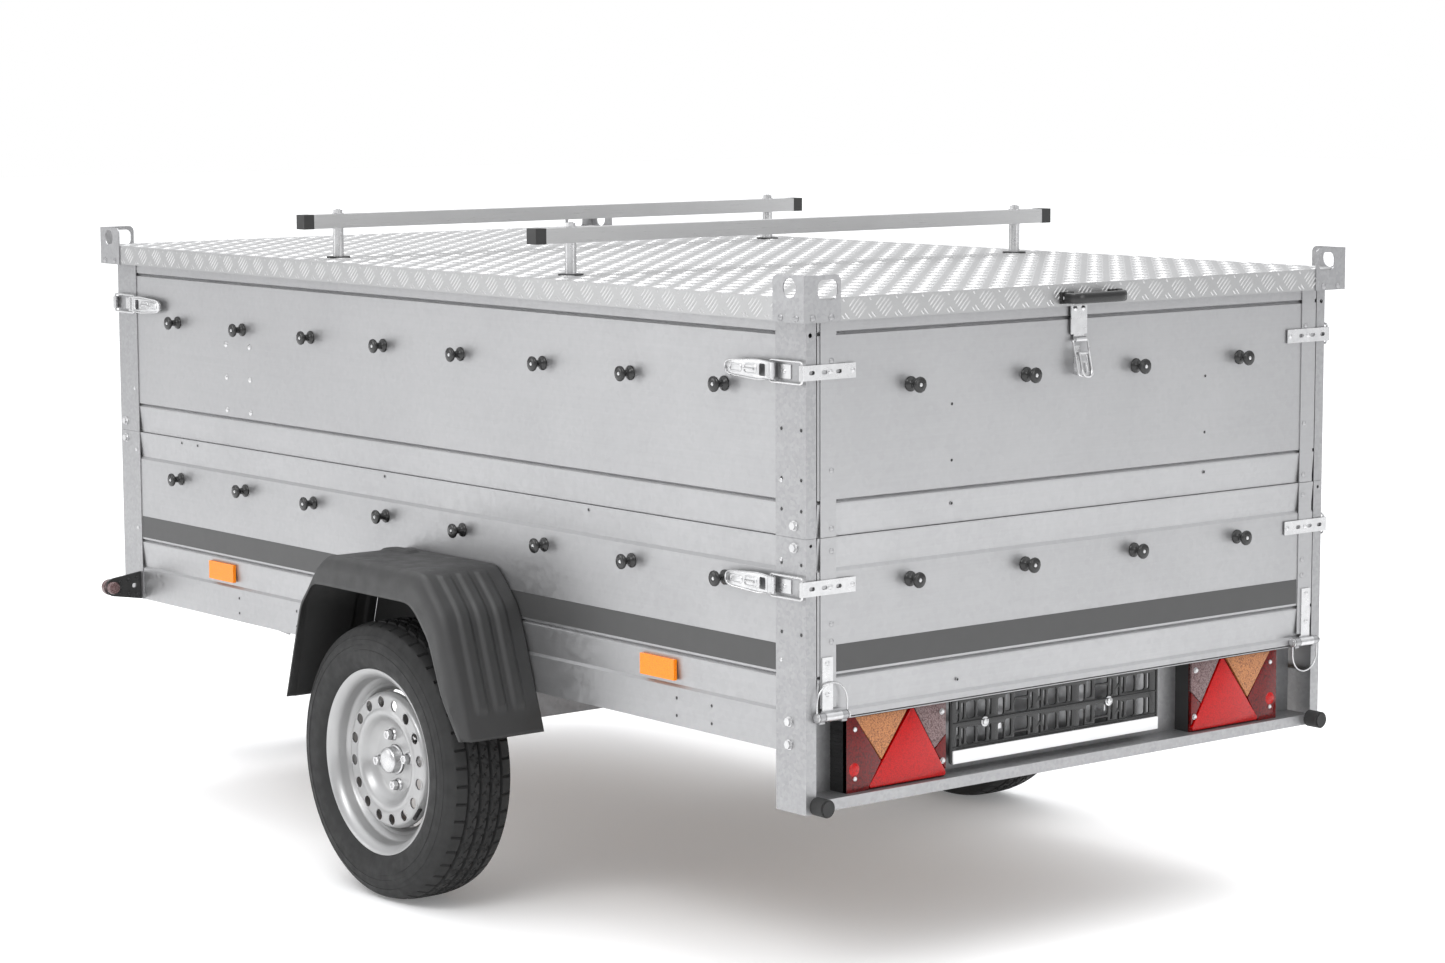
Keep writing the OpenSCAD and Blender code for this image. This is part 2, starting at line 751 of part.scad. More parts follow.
module body_fasteners() {
  color("lightgray") both_sides() {
    for (z = [21, -17, -319, -359]) hex_bolt_y(rx - 30 - (z < -300 ? 14 : 0), ly, sz + z);
    for (z = [21, -17]) hex_bolt_y(fx + 22, ly, sz + z);
    for (x = [fx + 64, rx - 66], z = [36 + 60, -40, -214]) rivet_y(x, ly, sz + z, 4);
    for (i = [0, 1], k = [0:2]) rivet_y(strut_px - 47 + i * 95, ly + skin, sz + 216 - k * 69, 6);
    rod_z(7, rail_z + sheet, rail_z + sheet + 6, apex_x + arm_run - 24, -arm_spread + 9);
    translate([apex_x + arm_run - 24, 9 - arm_spread, rail_z - 11.5]) cylinder(r = 9, h = 8, $fn = 6);
    rod_z(5.9, rail_z - 28, rail_z - 11.5, apex_x + arm_run - 24, -arm_spread + 9);
  }
}

// ---------- gas struts under the lid ----------

lid_axis_x = fx - overhang - 6;
lid_axis_z = flange_z;
strut_y = ly + 38;
strut_q = 1010;                             // lid stud behind the lid hinge
strut_up = 20;                              // lid stud above the lid hinge
strut_dx = lid_axis_x + strut_q - strut_px;
strut_dz = lid_axis_z + strut_up - strut_pz;
strut_len = norm([strut_dx, strut_dz]);
strut_tilt = atan2(strut_dz, strut_dx);
strut_r = 11;
strut_tube = strut_len - 75;
rod_r = 5;

module along_strut() {
  translate([strut_px, strut_y, strut_pz]) rotate([0, 90 - strut_tilt, 0]) children();
}

module strut_plates() {
  both_sides() {
    block([strut_px - 58, ly + skin + sheet, sz + 66], [strut_px + 58, ly + skin + sheet + 3, sz + 228]);
    rod_y(5, ly + skin + sheet + 3, strut_y + 6, strut_px, strut_pz);
  }
}

module strut_cylinders() {
  color("#222222") both_sides() along_strut() {
    difference() {
      union() {
        translate([0, 0, 14]) cylinder(r = strut_r, h = strut_tube - 14);
        rotate([90, 0, 0]) translate([0, 0, -5]) cylinder(r = 10, h = 10);
        translate([0, 0, 7]) cylinder(r = 6, h = 10);
      }
      translate([0, 0, 18]) cylinder(r = strut_r - 2, h = strut_tube - 24);
      translate([0, 0, strut_tube - 9]) cylinder(r = rod_r + run, h = 20);
      rotate([90, 0, 0]) translate([0, 0, -20]) cylinder(r = 5 + run, h = 40);
    }
  }
}

module strut_rods() {
  color("lightgray") both_sides() along_strut() {
    translate([0, 0, 18.5]) cylinder(r = strut_r - 2 - run, h = 10);
    translate([0, 0, 18.5]) cylinder(r = rod_r, h = strut_len - 26.5);
    translate([0, 0, strut_len]) rotate([90, 0, 0]) translate([0, 0, -4]) difference() {
      cylinder(r = 10, h = 8);
      translate([0, 0, -1]) cylinder(r = 5 + run, h = 10);
    }
  }
}

// ---------- lid ----------

lid_x0 = fx - overhang;
lid_x1 = rx + overhang;
lid_y = ly - overhang;

module lid_plate() {
  color("gainsboro") difference() {
    block([lid_x0, lid_y, flange_z], [lid_x1, -lid_y, lid_z]);
    block([lid_x0 + plate_t, lid_y + plate_t, flange_z - 1],
      [lid_x1 - plate_t, -lid_y - plate_t, lid_z - plate_t]);
  }
}

frame_y = ly + 50;
frame_x0 = fx + 60;
frame_x1 = rx - 45;
frame_top = lid_z - plate_t;

module frame_tube(low, high, t = 0) {
  block([low[0] + t, low[1] + t, frame_top - frame_s + t], [high[0] - t, high[1] - t, frame_top - t]);
}

module hollow_frame_tube(low, high) {
  difference() {
    frame_tube(low, high);
    frame_tube(low, high, 2);
  }
}

module lid_frame() {
  color("lightgray") {
    both_sides() {
      hollow_frame_tube([frame_x0, frame_y], [frame_x1, frame_y + frame_s]);
      rod_y(5, strut_y + 6 + gap, frame_y, lid_axis_x + strut_q, lid_axis_z + strut_up);
    }
    for (x = [frame_x0, rx - bar_front - frame_s / 2, rx - bar_rear - frame_s / 2, frame_x1 - frame_s])
      hollow_frame_tube([x, frame_y + frame_s], [x + frame_s, -frame_y - frame_s]);
  }
}

handle_y0 = -81;                            // lid grip and latch sit by the middle of the box
handle_y1 = handle_y0 + 152;
handle_z = flange_z + 15;

module lid_handle() {
  color("#222222") difference() {
    hull() {
      block([lid_x1, handle_y0, handle_z - 10], [lid_x1 + 8, handle_y1, handle_z + 11]);
      block([lid_x1, handle_y0 + 14, handle_z - 9], [lid_x1 + grip_out - 4, handle_y1 - 14, handle_z + 10]);
      block([lid_x1, handle_y0 + 20, handle_z - 5], [lid_x1 + grip_out, handle_y1 - 20, handle_z + 6]);
    }
    block([lid_x1 - 1, handle_y0 + 36, handle_z - 20],
      [lid_x1 + grip_out - 11, handle_y1 - 36, handle_z + 20]);
  }
}

latch_y = -14;                              // centre of the lid latch
hasp_w = 40;
hasp_x = rx + 4;                            // inner face of the hasp plate
lid_curl_z = flange_z - 62;
curl_r = 5;

module lid_fittings() {
  color(steel) {
    block([hasp_x, latch_y - hasp_w / 2, lid_curl_z + 9],
      [hasp_x + 2.5, latch_y + hasp_w / 2, lid_z - plate_t]);
    block([hasp_x + 2.5, latch_y - hasp_w / 2, lid_z - plate_t - 8],
      [lid_x1 - plate_t, latch_y + hasp_w / 2, lid_z - plate_t]);
    difference() {
      union() {
        rod_y(curl_r, latch_y - 13, latch_y + 13, hasp_x + curl_r, lid_curl_z);
        block([hasp_x, latch_y - 13, lid_curl_z], [hasp_x + 2.5, latch_y + 13, lid_curl_z + 10]);
      }
      rod_y(wire_r + run, latch_y - 14, latch_y + 14, hasp_x + curl_r, lid_curl_z);
    }
    for (y = [-10, 10]) rivet_x(hasp_x + 2.5, latch_y + y, flange_z - 7, 5);
    both_sides() for (y = [ly + 190]) {
      block([lid_x0 - 3, y - 40, flange_z + 4], [lid_x0, y + 40, flange_z + 34]);
      for (k = [-1, 1]) difference() {
        union() {
          rod_y(4.5, y + k * 26 - 13, y + k * 26 + 13, lid_axis_x, lid_axis_z);
          block([lid_axis_x - 0.5, y + k * 26 - 13, lid_axis_z], [lid_x0, y + k * 26 + 13, flange_z + 8]);
        }
        rod_y(2.5 + run, y + k * 26 - 14, y + k * 26 + 14, lid_axis_x, lid_axis_z);
      }
    }
  }
}

eye_z = flange_z - 1;
eye_back = 38;                              // round hole behind the corner
eye_up = 58;

module corner_eyes() {
  color(steel) both_sides() for (end = [0, 1]) mirror([end, 0, 0]) {
    x = (end == 0 ? lid_x1 : -lid_x0) + eye_t;
    y = lid_y - eye_t;
    difference() {
      union() {
        block([x - eye_w, y, eye_z], [x, lid_y, eye_z + eye_h]);
        block([x - eye_t, y, eye_z], [x, y + eye_w, eye_z + eye_h]);
        for (d = [20, 61]) {
          rivet_y(x - d, y, eye_z + 8, 6);
          rivet_x(x, y + d, eye_z + 8, 6);
        }
      }
      rod_y(eye_r, y - 1, lid_y + 1, x - eye_back, eye_z + eye_up);
      block([x - eye_t - 1, y + 31, eye_z + 50], [x + 1, y + 75, eye_z + 60]);
      block([x - eye_t - 1, y + 43, eye_z + 38], [x + 1, y + 63, eye_z + 72]);
      for (a = [43, 63], b = [50, 60]) rod_x(12, x - eye_t - 1, x + 1, y + a, eye_z + b);
      difference() {
        block([x - eye_w - 1, y - 1, eye_z + eye_h - 12], [x - eye_w + 12, lid_y + 1, eye_z + eye_h + 1]);
        rod_y(12, y - 2, lid_y + 2, x - eye_w + 12, eye_z + eye_h - 12);
      }
      difference() {
        block([x - eye_t - 1, y + eye_w - 12, eye_z + eye_h - 12], [x + 1, y + eye_w + 1, eye_z + eye_h + 1]);
        rod_x(12, x - eye_t - 2, x + 2, y + eye_w - 12, eye_z + eye_h - 12);
      }
    }
  }
}

bar_z = lid_z + bar_gap;                    // bottom of the load bars
pad_t = 3;
bar_end = ly - bar_over + 24;               // bar tube ends inside its cap

module load_bars() {
  color("lightgray") for (d = [bar_front, bar_rear]) difference() {
    block([rx - d - load_bar / 2, bar_end, bar_z], [rx - d + load_bar / 2, -bar_end, bar_z + load_bar]);
    block([rx - d - load_bar / 2 + 2, bar_end - 1, bar_z + 2],
      [rx - d + load_bar / 2 - 2, 1 - bar_end, bar_z + load_bar - 2]);
    for (y = [ly + bar_inset, -ly - bar_inset]) rod_z(5.2, bar_z - 1, bar_z + load_bar + 1, rx - d, y);
  }
}

module load_bar_posts() {
  color("lightgray") both_sides() for (d = [bar_front, bar_rear]) {
    rod_z(11, lid_z + pad_t, bar_z, rx - d, ly + bar_inset);
    rod_z(5, bar_z, bar_z + load_bar + 10, rx - d, ly + bar_inset);
    rod_z(12, bar_z + load_bar, bar_z + load_bar + 1.5, rx - d, ly + bar_inset);
    translate([rx - d, ly + bar_inset, bar_z + load_bar + 1.5]) cylinder(r = 9.5, h = 7, $fn = 6);
  }
}

module load_bar_pads() {
  color("#222222") both_sides() for (d = [bar_front, bar_rear]) {
    rod_z(24, lid_z, lid_z + pad_t, rx - d, ly + bar_inset);
    block([rx - d - load_bar / 2 - 0.5, ly - bar_over, bar_z - 0.5],
      [rx - d + load_bar / 2 + 0.5, bar_end, bar_z + load_bar + 0.5]);
  }
}

// ---------- over-centre latches ----------

curl_x = rx - 0.5;                          // axis of a rear strap's curl
curl_y = ly - 8;

// Wire frame lying along +X from a pivot at the origin, its side bars a little stouter
module wire_frame(length, half) {
  for (s = [-1, 1]) translate([-wire_r - 0.4, s * half, 0]) rotate([0, 90, 0])
    cylinder(r = wire_r + 0.3, h = length + 2 * wire_r + 0.8);
  for (u = [0, length]) translate([u, -half, 0]) rotate([-90, 0, 0]) cylinder(r = wire_r, h = 2 * half);
}

// Wire frame with its lever; +Z is away from the box
module latch() {
  wire_frame(latch_l, latch_half);
  difference() {
    union() {
      translate([latch_l, -14, 0]) rotate([-90, 0, 0]) cylinder(r = 6, h = 28);
      linear_extrude(8) lever_outline(0);
    }
    translate([0, 0, 2]) linear_extrude(10) lever_outline(2);
    translate([latch_l - 14, -9, 3]) cube([30, 18, 10]);
  }
}

// Lever seen from outside: broad at the frame, rounded and narrower at its free end
module lever_outline(inset) {
  tip = latch_l + lever_l - 4;
  polygon([[latch_l - 10 + inset, 15 - inset], [latch_l - 10 + inset, inset - 15], [latch_l + 30, inset - 17],
    [tip - 14, inset - 13], [tip - inset, inset - 8], [tip - inset, 8 - inset], [tip - 14, 13 - inset],
    [latch_l + 30, 17 - inset]]);
}

// Strap on an end face of the box with the curl that carries a latch frame
module strap(z) {
  difference() {
    union() {
      block([rx + post_t, curl_y, z - 13], [rx + post_t + 2.5, ly + strap_l, z + 13]);
      rod_z(curl_r, z - 13, z + 13, curl_x, curl_y);
    }
    rod_z(wire_r + run, z - 14, z + 14, curl_x, curl_y);
    rod_z(5.1, z - 14, z + 14, curl_x - 20, curl_y);
    for (y = [10, 38, 70]) {
      rod_x(3.5, rx + post_t - 1, rx + post_t + 4, ly + y - 3, z);
      rod_x(3.5, rx + post_t - 1, rx + post_t + 4, ly + y + 3, z);
      block([rx + post_t - 1, ly + y - 3, z - 3.5], [rx + post_t + 4, ly + y + 3, z + 3.5]);
    }
  }
  for (y = [51, 101]) rivet_x(rx + post_t + 2.5, ly + y, z, 4.5);
}

module rear_latch(z) {
  translate([curl_x, curl_y, z]) rotate([90, 0, 0]) mirror([1, 0, 0]) latch();
}

module keeper(x, z) {
  block([x - 17, ly - 2, z - 12], [x + 17, ly, z + 12]);
  rivet_y(x, ly - 2, z, 4);
}

module fixed_fittings() {
  color("lightgray") {
    strut_plates();
    both_sides() {
      block([fx - post_t, ly + 1, sz + latch_up - 13], [fx, ly + post_fold - 1, sz + latch_up + 13]);
      strap(sz + latch_up);
      for (z = [latch_up, -latch_low]) keeper(rx - 54, sz + z);
      keeper(fx + 54, sz + latch_up);
      translate([rx + fx, 0, 0]) mirror([1, 0, 0]) strap(sz + latch_up);
    }
    block([rx, latch_y - 7, lid_curl_z - 64], [rx + 2, latch_y + 7, lid_curl_z - 12]);
    block([rx + 2, latch_y - 7, lid_curl_z - 64], [rx + 10, latch_y + 7, lid_curl_z - 61.5]);
    for (z = [-52, -24]) rivet_x(rx + 2, latch_y, lid_curl_z + z, 4);
    both_sides() for (y = [ly + 190]) {
      block([lid_axis_x + 6, y - 12.6, lid_axis_z - 26], [fx + skin, y + 12.6, lid_axis_z - 23]);
      block([fx - 2, y - 40, lid_axis_z - 60], [fx + skin, y + 40, lid_axis_z - 26]);
      difference() {
        union() {
          rod_y(4.5, y - 12.6, y + 12.6, lid_axis_x, lid_axis_z);
          block([lid_axis_x - 1.5, y - 12.6, lid_axis_z - 26], [lid_axis_x + 6, y + 12.6, lid_axis_z - 4]);
        }
        rod_y(2.5, y - 14, y + 14, lid_axis_x, lid_axis_z);
      }
    }
  }
}

module latch_rear_upper_left() {
  color("gainsboro") rear_latch(sz + latch_up);
}

module latch_rear_upper_right() {
  color("gainsboro") mirror([0, 1, 0]) rear_latch(sz + latch_up);
}

module latch_tailgate_left() {
  color("gainsboro") rear_latch(sz - latch_low);
}

module latch_tailgate_right() {
  color("gainsboro") mirror([0, 1, 0]) rear_latch(sz - latch_low);
}

module latch_front_left() {
  color("gainsboro") translate([rx + fx, 0, 0]) mirror([1, 0, 0]) rear_latch(sz + latch_up);
}

module latch_front_right() {
  color("gainsboro") mirror([0, 1, 0]) translate([rx + fx, 0, 0]) mirror([1, 0, 0]) rear_latch(sz + latch_up);
}

lid_latch_l = 66;
lid_latch_lean = 14;

module lid_latch() {
  color("gainsboro") translate([hasp_x + curl_r, latch_y, lid_curl_z]) rotate([0, 90 - lid_latch_lean, 0]) {
    wire_frame(lid_latch_l, 18);
    difference() {
      translate([24, -12, 0]) cube([lid_latch_l + 4 - 24, 24, 7]);
      translate([28, -10, 2]) cube([lid_latch_l - 4 - 24, 20, 7]);
    }
  }
}

// ---------- tailgate ----------

module tailgate_panel() {
  color(steel) {
    along_y(gate_y, -gate_y, [for (p = pressed(gate_face, sheet)) [rx - p[0], sz + p[1]]]);
    block([rx - gate_t, gate_y, sz - gap - sheet], [rx - sheet, -gate_y, sz - gap]);
    block([rx - gate_t, gate_y, sz - gate_low], [rx - sheet, -gate_y, sz - gate_low + sheet]);
    both_sides() {
      end_plate(gate_face, gate_t);
      edge_channel(sz - gate_low + 20, sz - gap);
      for (z = [24, belt_z - 60, belt_z - 90]) rivet_x(rx + post_t, gate_y + 6 + channel_w * 0.7, sz - z);
    }
  }
}

module tailgate_fittings() {
  color("lightgray") both_sides() {
    strap(sz - latch_low);
    block([rx + post_t, ly + 33, sz - hinge_z + 6], [rx + post_t + 2.5, ly + 57, sz - 206]);
    difference() {
      union() {
        rod_y(8.5, ly + 32.6, ly + 69.4, hinge_x, sz - hinge_z);
        block([rx + 0.5, ly + 33, sz - hinge_z], [rx + post_t + 2.5, ly + 57, sz - hinge_z + 10]);
      }
      rod_y(pin_r + run, ly + 30, ly + 72, hinge_x, sz - hinge_z);
    }
    for (z = [216, 270]) rivet_x(rx + post_t + 2.5, ly + 44, sz - z, 4.5);
  }
}

module tailgate_knobs() {
  color("#222222") knob_row_y(rx, knob_low, 90);
}

module hinge_pins() {
  color("lightgray") {
    both_sides() rod_y(pin_r, ly + 14, ly + 88, hinge_x, sz - hinge_z);
    both_sides() rod_y(2.5, ly + 190 - 42, ly + 190 + 42, lid_axis_x, lid_axis_z);
  }
}

// D-shaped wire ring on the ends of a hinge pin, standing up along +Z
module hinge_ring() {
  leg_y = [ly + 17, ly + 85];
  arc = (leg_y[1] - leg_y[0]) / 2;
  leg = 24;
  difference() {
    union() {
      for (y = leg_y) {
        rod_y(pin_r + 3, y - 1.5, y + 1.5, hinge_x, sz - hinge_z);
        rod_z(1.4, sz - hinge_z + pin_r + 1.5, sz - hinge_z + leg + 1, hinge_x, y);
      }
      translate([hinge_x, (leg_y[0] + leg_y[1]) / 2, sz - hinge_z + leg]) rotate([90, 0, 90])
        rotate_extrude(angle = 180) translate([arc, 0]) circle(r = 1.5);
    }
    rod_y(pin_r + run, ly + 10, ly + 92, hinge_x, sz - hinge_z);
  }
}

module hinge_rings_left() {
  color("gainsboro") hinge_ring();
}

// The right ring hangs down
module hinge_rings_right() {
  color("gainsboro") mirror([0, 1, 0]) translate([0, 0, 2 * (sz - hinge_z)]) mirror([0, 0, 1]) hinge_ring();
}

// ---------- jockey wheel ----------

jx = fx - jockey_ahead;
tube_t = 2.5;
jockey_top = rail_z + 230;
inner_r = jockey_r - tube_t - run;
fork_z = 2 * jockey_wheel_r + 18;
jockey_half = (jx - apex_x) * tan(arm_angle) + bar_s / 2;            // plate end over a drawbar tube
jockey_in = (jx - 50 - apex_x) * tan(arm_angle) - bar_s / 2 - 8;     // folds end inside the tubes

module jockey_tube() {
  color(steel) {
    difference() {
      union() {
        rod_z(jockey_r, rail_z - 90, jockey_top, jx, 0);
        block([jx - 50, -jockey_half, rail_z], [jx + 50, jockey_half, rail_z + 6]);
        for (x = [jx - 50, jx + 46]) block([x, -jockey_in, rail_z - 30], [x + 4, jockey_in, rail_z + 1]);
      }
      rod_z(jockey_r - tube_t, rail_z - 100, jockey_top + 1, jx, 0);
    }
    difference() {
      rod_z(jockey_r - tube_t, jockey_top - 20, jockey_top, jx, 0);
      rod_z(8 + run, jockey_top - 30, jockey_top + 10, jx, 0);
    }
  }
}

module jockey_inner_tube() {
  color("lightgray") difference() {
    rod_z(inner_r, fork_z + 10, jockey_top - 30 - jockey_travel, jx, 0);
    rod_z(10, fork_z + 22, jockey_top, jx, 0);
    rod_z(6 + run, fork_z, jockey_top, jx, 0);
  }
}

module jockey_crank() {
  color("lightgray") {
    rod_z(8, jockey_top - 24, jockey_top + 14, jx, 0);
    rod_z(7, fork_z + 30 + jockey_travel, jockey_top - 24, jx, 0);
    block([jx - 9, -9, jockey_top + 10], [jx + 110, 9, jockey_top + 16]);
    rod_z(5, jockey_top + 16, jockey_top + 26, jx + 100, 0);
    rod_z(11, jockey_top + 26, jockey_top + 80, jx + 100, 0);
  }
}

module jockey_fork() {
  color(steel) {
    rod_z(20, fork_z + 4, fork_z + 9.6, jx, 0);
    rod_z(6, fork_z + 8, fork_z + 24, jx, 0);
    block([jx - 18, -38, fork_z], [jx + 48, 38, fork_z + 4.5]);
    for (s = [-1, 1]) {
      along_y(min(s * 34, s * 38), max(s * 34, s * 38),
        [[jx - 18, fork_z + 2], [jx + 48, fork_z + 2], [jx + 52, jockey_wheel_r - 14],
        [jx + 24, jockey_wheel_r - 14]]);
    }
    rod_y(7, -40, 40, jx + 38, jockey_wheel_r);
  }
}

module jockey_wheel() {
  color("#222222") translate([jx + 38, 0, jockey_wheel_r]) rotate([90, 0, 0])
    ring([[7 + run, -32], [18, -32], [18, -8], [60, -8], [64, -22], [84, -25], [94, -23],
      [jockey_wheel_r, -12], [jockey_wheel_r, 12], [94, 23], [84, 25], [64, 22], [60, 8], [18, 8], [18, 32],
      [7 + run, 32]]);
}

lower_side_panels();
upper_side_panels();
front_panels();
upper_rear_panel();
corner_posts();
floor_panel();
cross_members();
drawbar_arm_left();
drawbar_arm_right();
coupling_head();
coupling_handle();
axle_beam();
suspension_arm_left();
suspension_arm_right();
hub_left();
hub_right();
rim_left();
rim_right();
tyre_left();
tyre_right();
mudguard_left();
mudguard_right();
lamp_beam();
lamp_housings();
lamp_lenses();
marker_lamps();
side_reflectors();
plate_holder();
rubber_buffers();
fixed_knobs();
body_fasteners();
fixed_fittings();
hinge_pins();
strut_cylinders();
strut_rods();
jockey_tube();
jockey_inner_tube();
jockey_crank();
jockey_fork();
jockey_wheel();
lid_plate();
lid_frame();
lid_handle();
lid_fittings();
corner_eyes();
load_bars();
load_bar_posts();
load_bar_pads();
tailgate_panel();
tailgate_fittings();
tailgate_knobs();
latch_rear_upper_left();
latch_rear_upper_right();
latch_tailgate_left();
latch_tailgate_right();
latch_front_left();
latch_front_right();
lid_latch();
hinge_rings_left();
hinge_rings_right();
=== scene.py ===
"""Looks of the two-tier box trailer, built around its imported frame. Metres, +X rear, +Y right, +Z up."""

import math
import random

import bmesh
import bpy
from mathutils import Matrix, Vector


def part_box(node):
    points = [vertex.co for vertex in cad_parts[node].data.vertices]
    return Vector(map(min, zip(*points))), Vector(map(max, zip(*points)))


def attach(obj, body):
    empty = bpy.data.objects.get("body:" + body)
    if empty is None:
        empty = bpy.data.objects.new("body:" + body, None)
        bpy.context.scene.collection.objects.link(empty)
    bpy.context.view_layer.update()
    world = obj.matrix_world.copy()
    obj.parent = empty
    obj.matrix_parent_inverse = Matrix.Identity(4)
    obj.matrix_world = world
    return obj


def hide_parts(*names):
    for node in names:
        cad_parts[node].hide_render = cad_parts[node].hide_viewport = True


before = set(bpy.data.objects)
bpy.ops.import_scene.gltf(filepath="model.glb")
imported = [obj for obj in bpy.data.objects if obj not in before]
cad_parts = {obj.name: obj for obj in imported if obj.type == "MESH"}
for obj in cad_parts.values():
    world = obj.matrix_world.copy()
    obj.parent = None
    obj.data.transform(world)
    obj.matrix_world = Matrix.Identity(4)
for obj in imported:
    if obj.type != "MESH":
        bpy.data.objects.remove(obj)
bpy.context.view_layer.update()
random.seed(7)

# ---------- anchors read from the frame ----------

POST_LO, POST_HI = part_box("corner_posts")
RX, FX = POST_HI.x, POST_LO.x
LY = POST_LO.y
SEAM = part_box("upper_side_panels")[0].z - 0.0005
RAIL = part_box("lower_side_panels")[0].z
LID_LO, LID_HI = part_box("lid_plate")
TYRE_LO, TYRE_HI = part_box("tyre_left")
WHEEL = (TYRE_LO + TYRE_HI) / 2
RIM_LO, RIM_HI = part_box("rim_left")
RIM_R = (RIM_HI.x - RIM_LO.x) / 2
TYRE_R = (TYRE_HI.x - TYRE_LO.x) / 2
SKIN = 0.002                      # panels sit this far behind the post sheet
CHASSIS = ("chassis", "chassis")  # left and right bodies of a mirrored piece
WHEELS = ("wheel_left", "wheel_right")

# ---------- camera, floor and light ----------


def camera():
    cam = bpy.data.cameras.new("camera")
    cam.lens, cam.sensor_width, cam.sensor_fit = 85.4, 36, "HORIZONTAL"
    ob = bpy.data.objects.new("camera", cam)
    bpy.context.scene.collection.objects.link(ob)
    az, pitch, roll = math.radians(51.234), math.radians(6.909), math.radians(0.21)
    ahead = Vector((-math.sin(az) * math.cos(pitch), math.cos(az) * math.cos(pitch), -math.sin(pitch)))
    right = Vector((math.cos(az), math.sin(az), 0))
    up = right.cross(ahead)
    turned = right * math.cos(roll) - up * math.sin(roll)
    up = turned.cross(ahead)
    turn = Matrix((turned, up, -ahead)).transposed().to_4x4()
    ob.matrix_world = Matrix.Translation((RX + 4.3949, LY - 3.7098, SEAM + 0.7969)) @ turn
    cam.clip_end = 100
    bpy.context.scene.camera = ob


def area_light(name, at, to, size, power, tint=(1, 1, 1)):
    lamp = bpy.data.lights.new(name, "AREA")
    lamp.shape, lamp.size, lamp.size_y = "RECTANGLE", size[0], size[1]
    lamp.energy, lamp.color = power, tint
    ob = bpy.data.objects.new(name, lamp)
    bpy.context.scene.collection.objects.link(ob)
    ob.location = at
    ob.rotation_euler = (Vector(to) - Vector(at)).to_track_quat("-Z", "Y").to_euler()


def studio():
    scene = bpy.context.scene
    scene.view_settings.view_transform = "Standard"
    world = bpy.data.worlds.new("studio")
    scene.world = world
    world.use_nodes = True
    tree = world.node_tree
    back = tree.nodes["Background"]
    place = tree.nodes.new("ShaderNodeTexCoord")
    split = tree.nodes.new("ShaderNodeSeparateXYZ")
    ramp = tree.nodes.new("ShaderNodeValToRGB")
    seen = tree.nodes.new("ShaderNodeLightPath")
    mix = tree.nodes.new("ShaderNodeMix")
    mix.data_type = "RGBA"
    tree.links.new(place.outputs["Generated"], split.inputs[0])
    tree.links.new(split.outputs["Z"], ramp.inputs["Fac"])
    tree.links.new(seen.outputs["Is Camera Ray"], mix.inputs["Factor"])
    tree.links.new(ramp.outputs["Color"], mix.inputs[6])
    mix.inputs[7].default_value = (1, 1, 1, 1)
    tree.links.new(mix.outputs[2], back.inputs["Color"])
    back.inputs["Strength"].default_value = 1.0
    ramp.color_ramp.elements[0].color = (0.46, 0.46, 0.47, 1)
    ramp.color_ramp.elements[1].color = (1.9, 1.92, 1.95, 1)
    middle = ramp.color_ramp.elements.new(0.25)
    middle.color = (0.66, 0.66, 0.67, 1)
    area_light("key", (3.2, -4.2, 5.0), (0.6, 0, 0.7), (3.5, 2.0), 130)
    area_light("top", (0.0, 0.4, 4.6), (0.2, 0, 0.6), (4.5, 2.2), 120)
    area_light("rear_fill", (7.5, 1.5, 2.0), (1.6, 0, 0.7), (2.4, 1.6), 38)
    area_light("side_fill", (-4.5, -6.5, 2.0), (-0.4, 0, 0.6), (3.0, 1.8), 55)
    mesh = bpy.data.meshes.new("floor")
    mesh.from_pydata([(-40, -40, 0), (40, -40, 0), (40, 40, 0), (-40, 40, 0)], [], [(0, 1, 2, 3)])
    floor = bpy.data.objects.new("floor", mesh)
    scene.collection.objects.link(floor)
    mesh.materials.append(floor_paint())


# ---------- node materials ----------


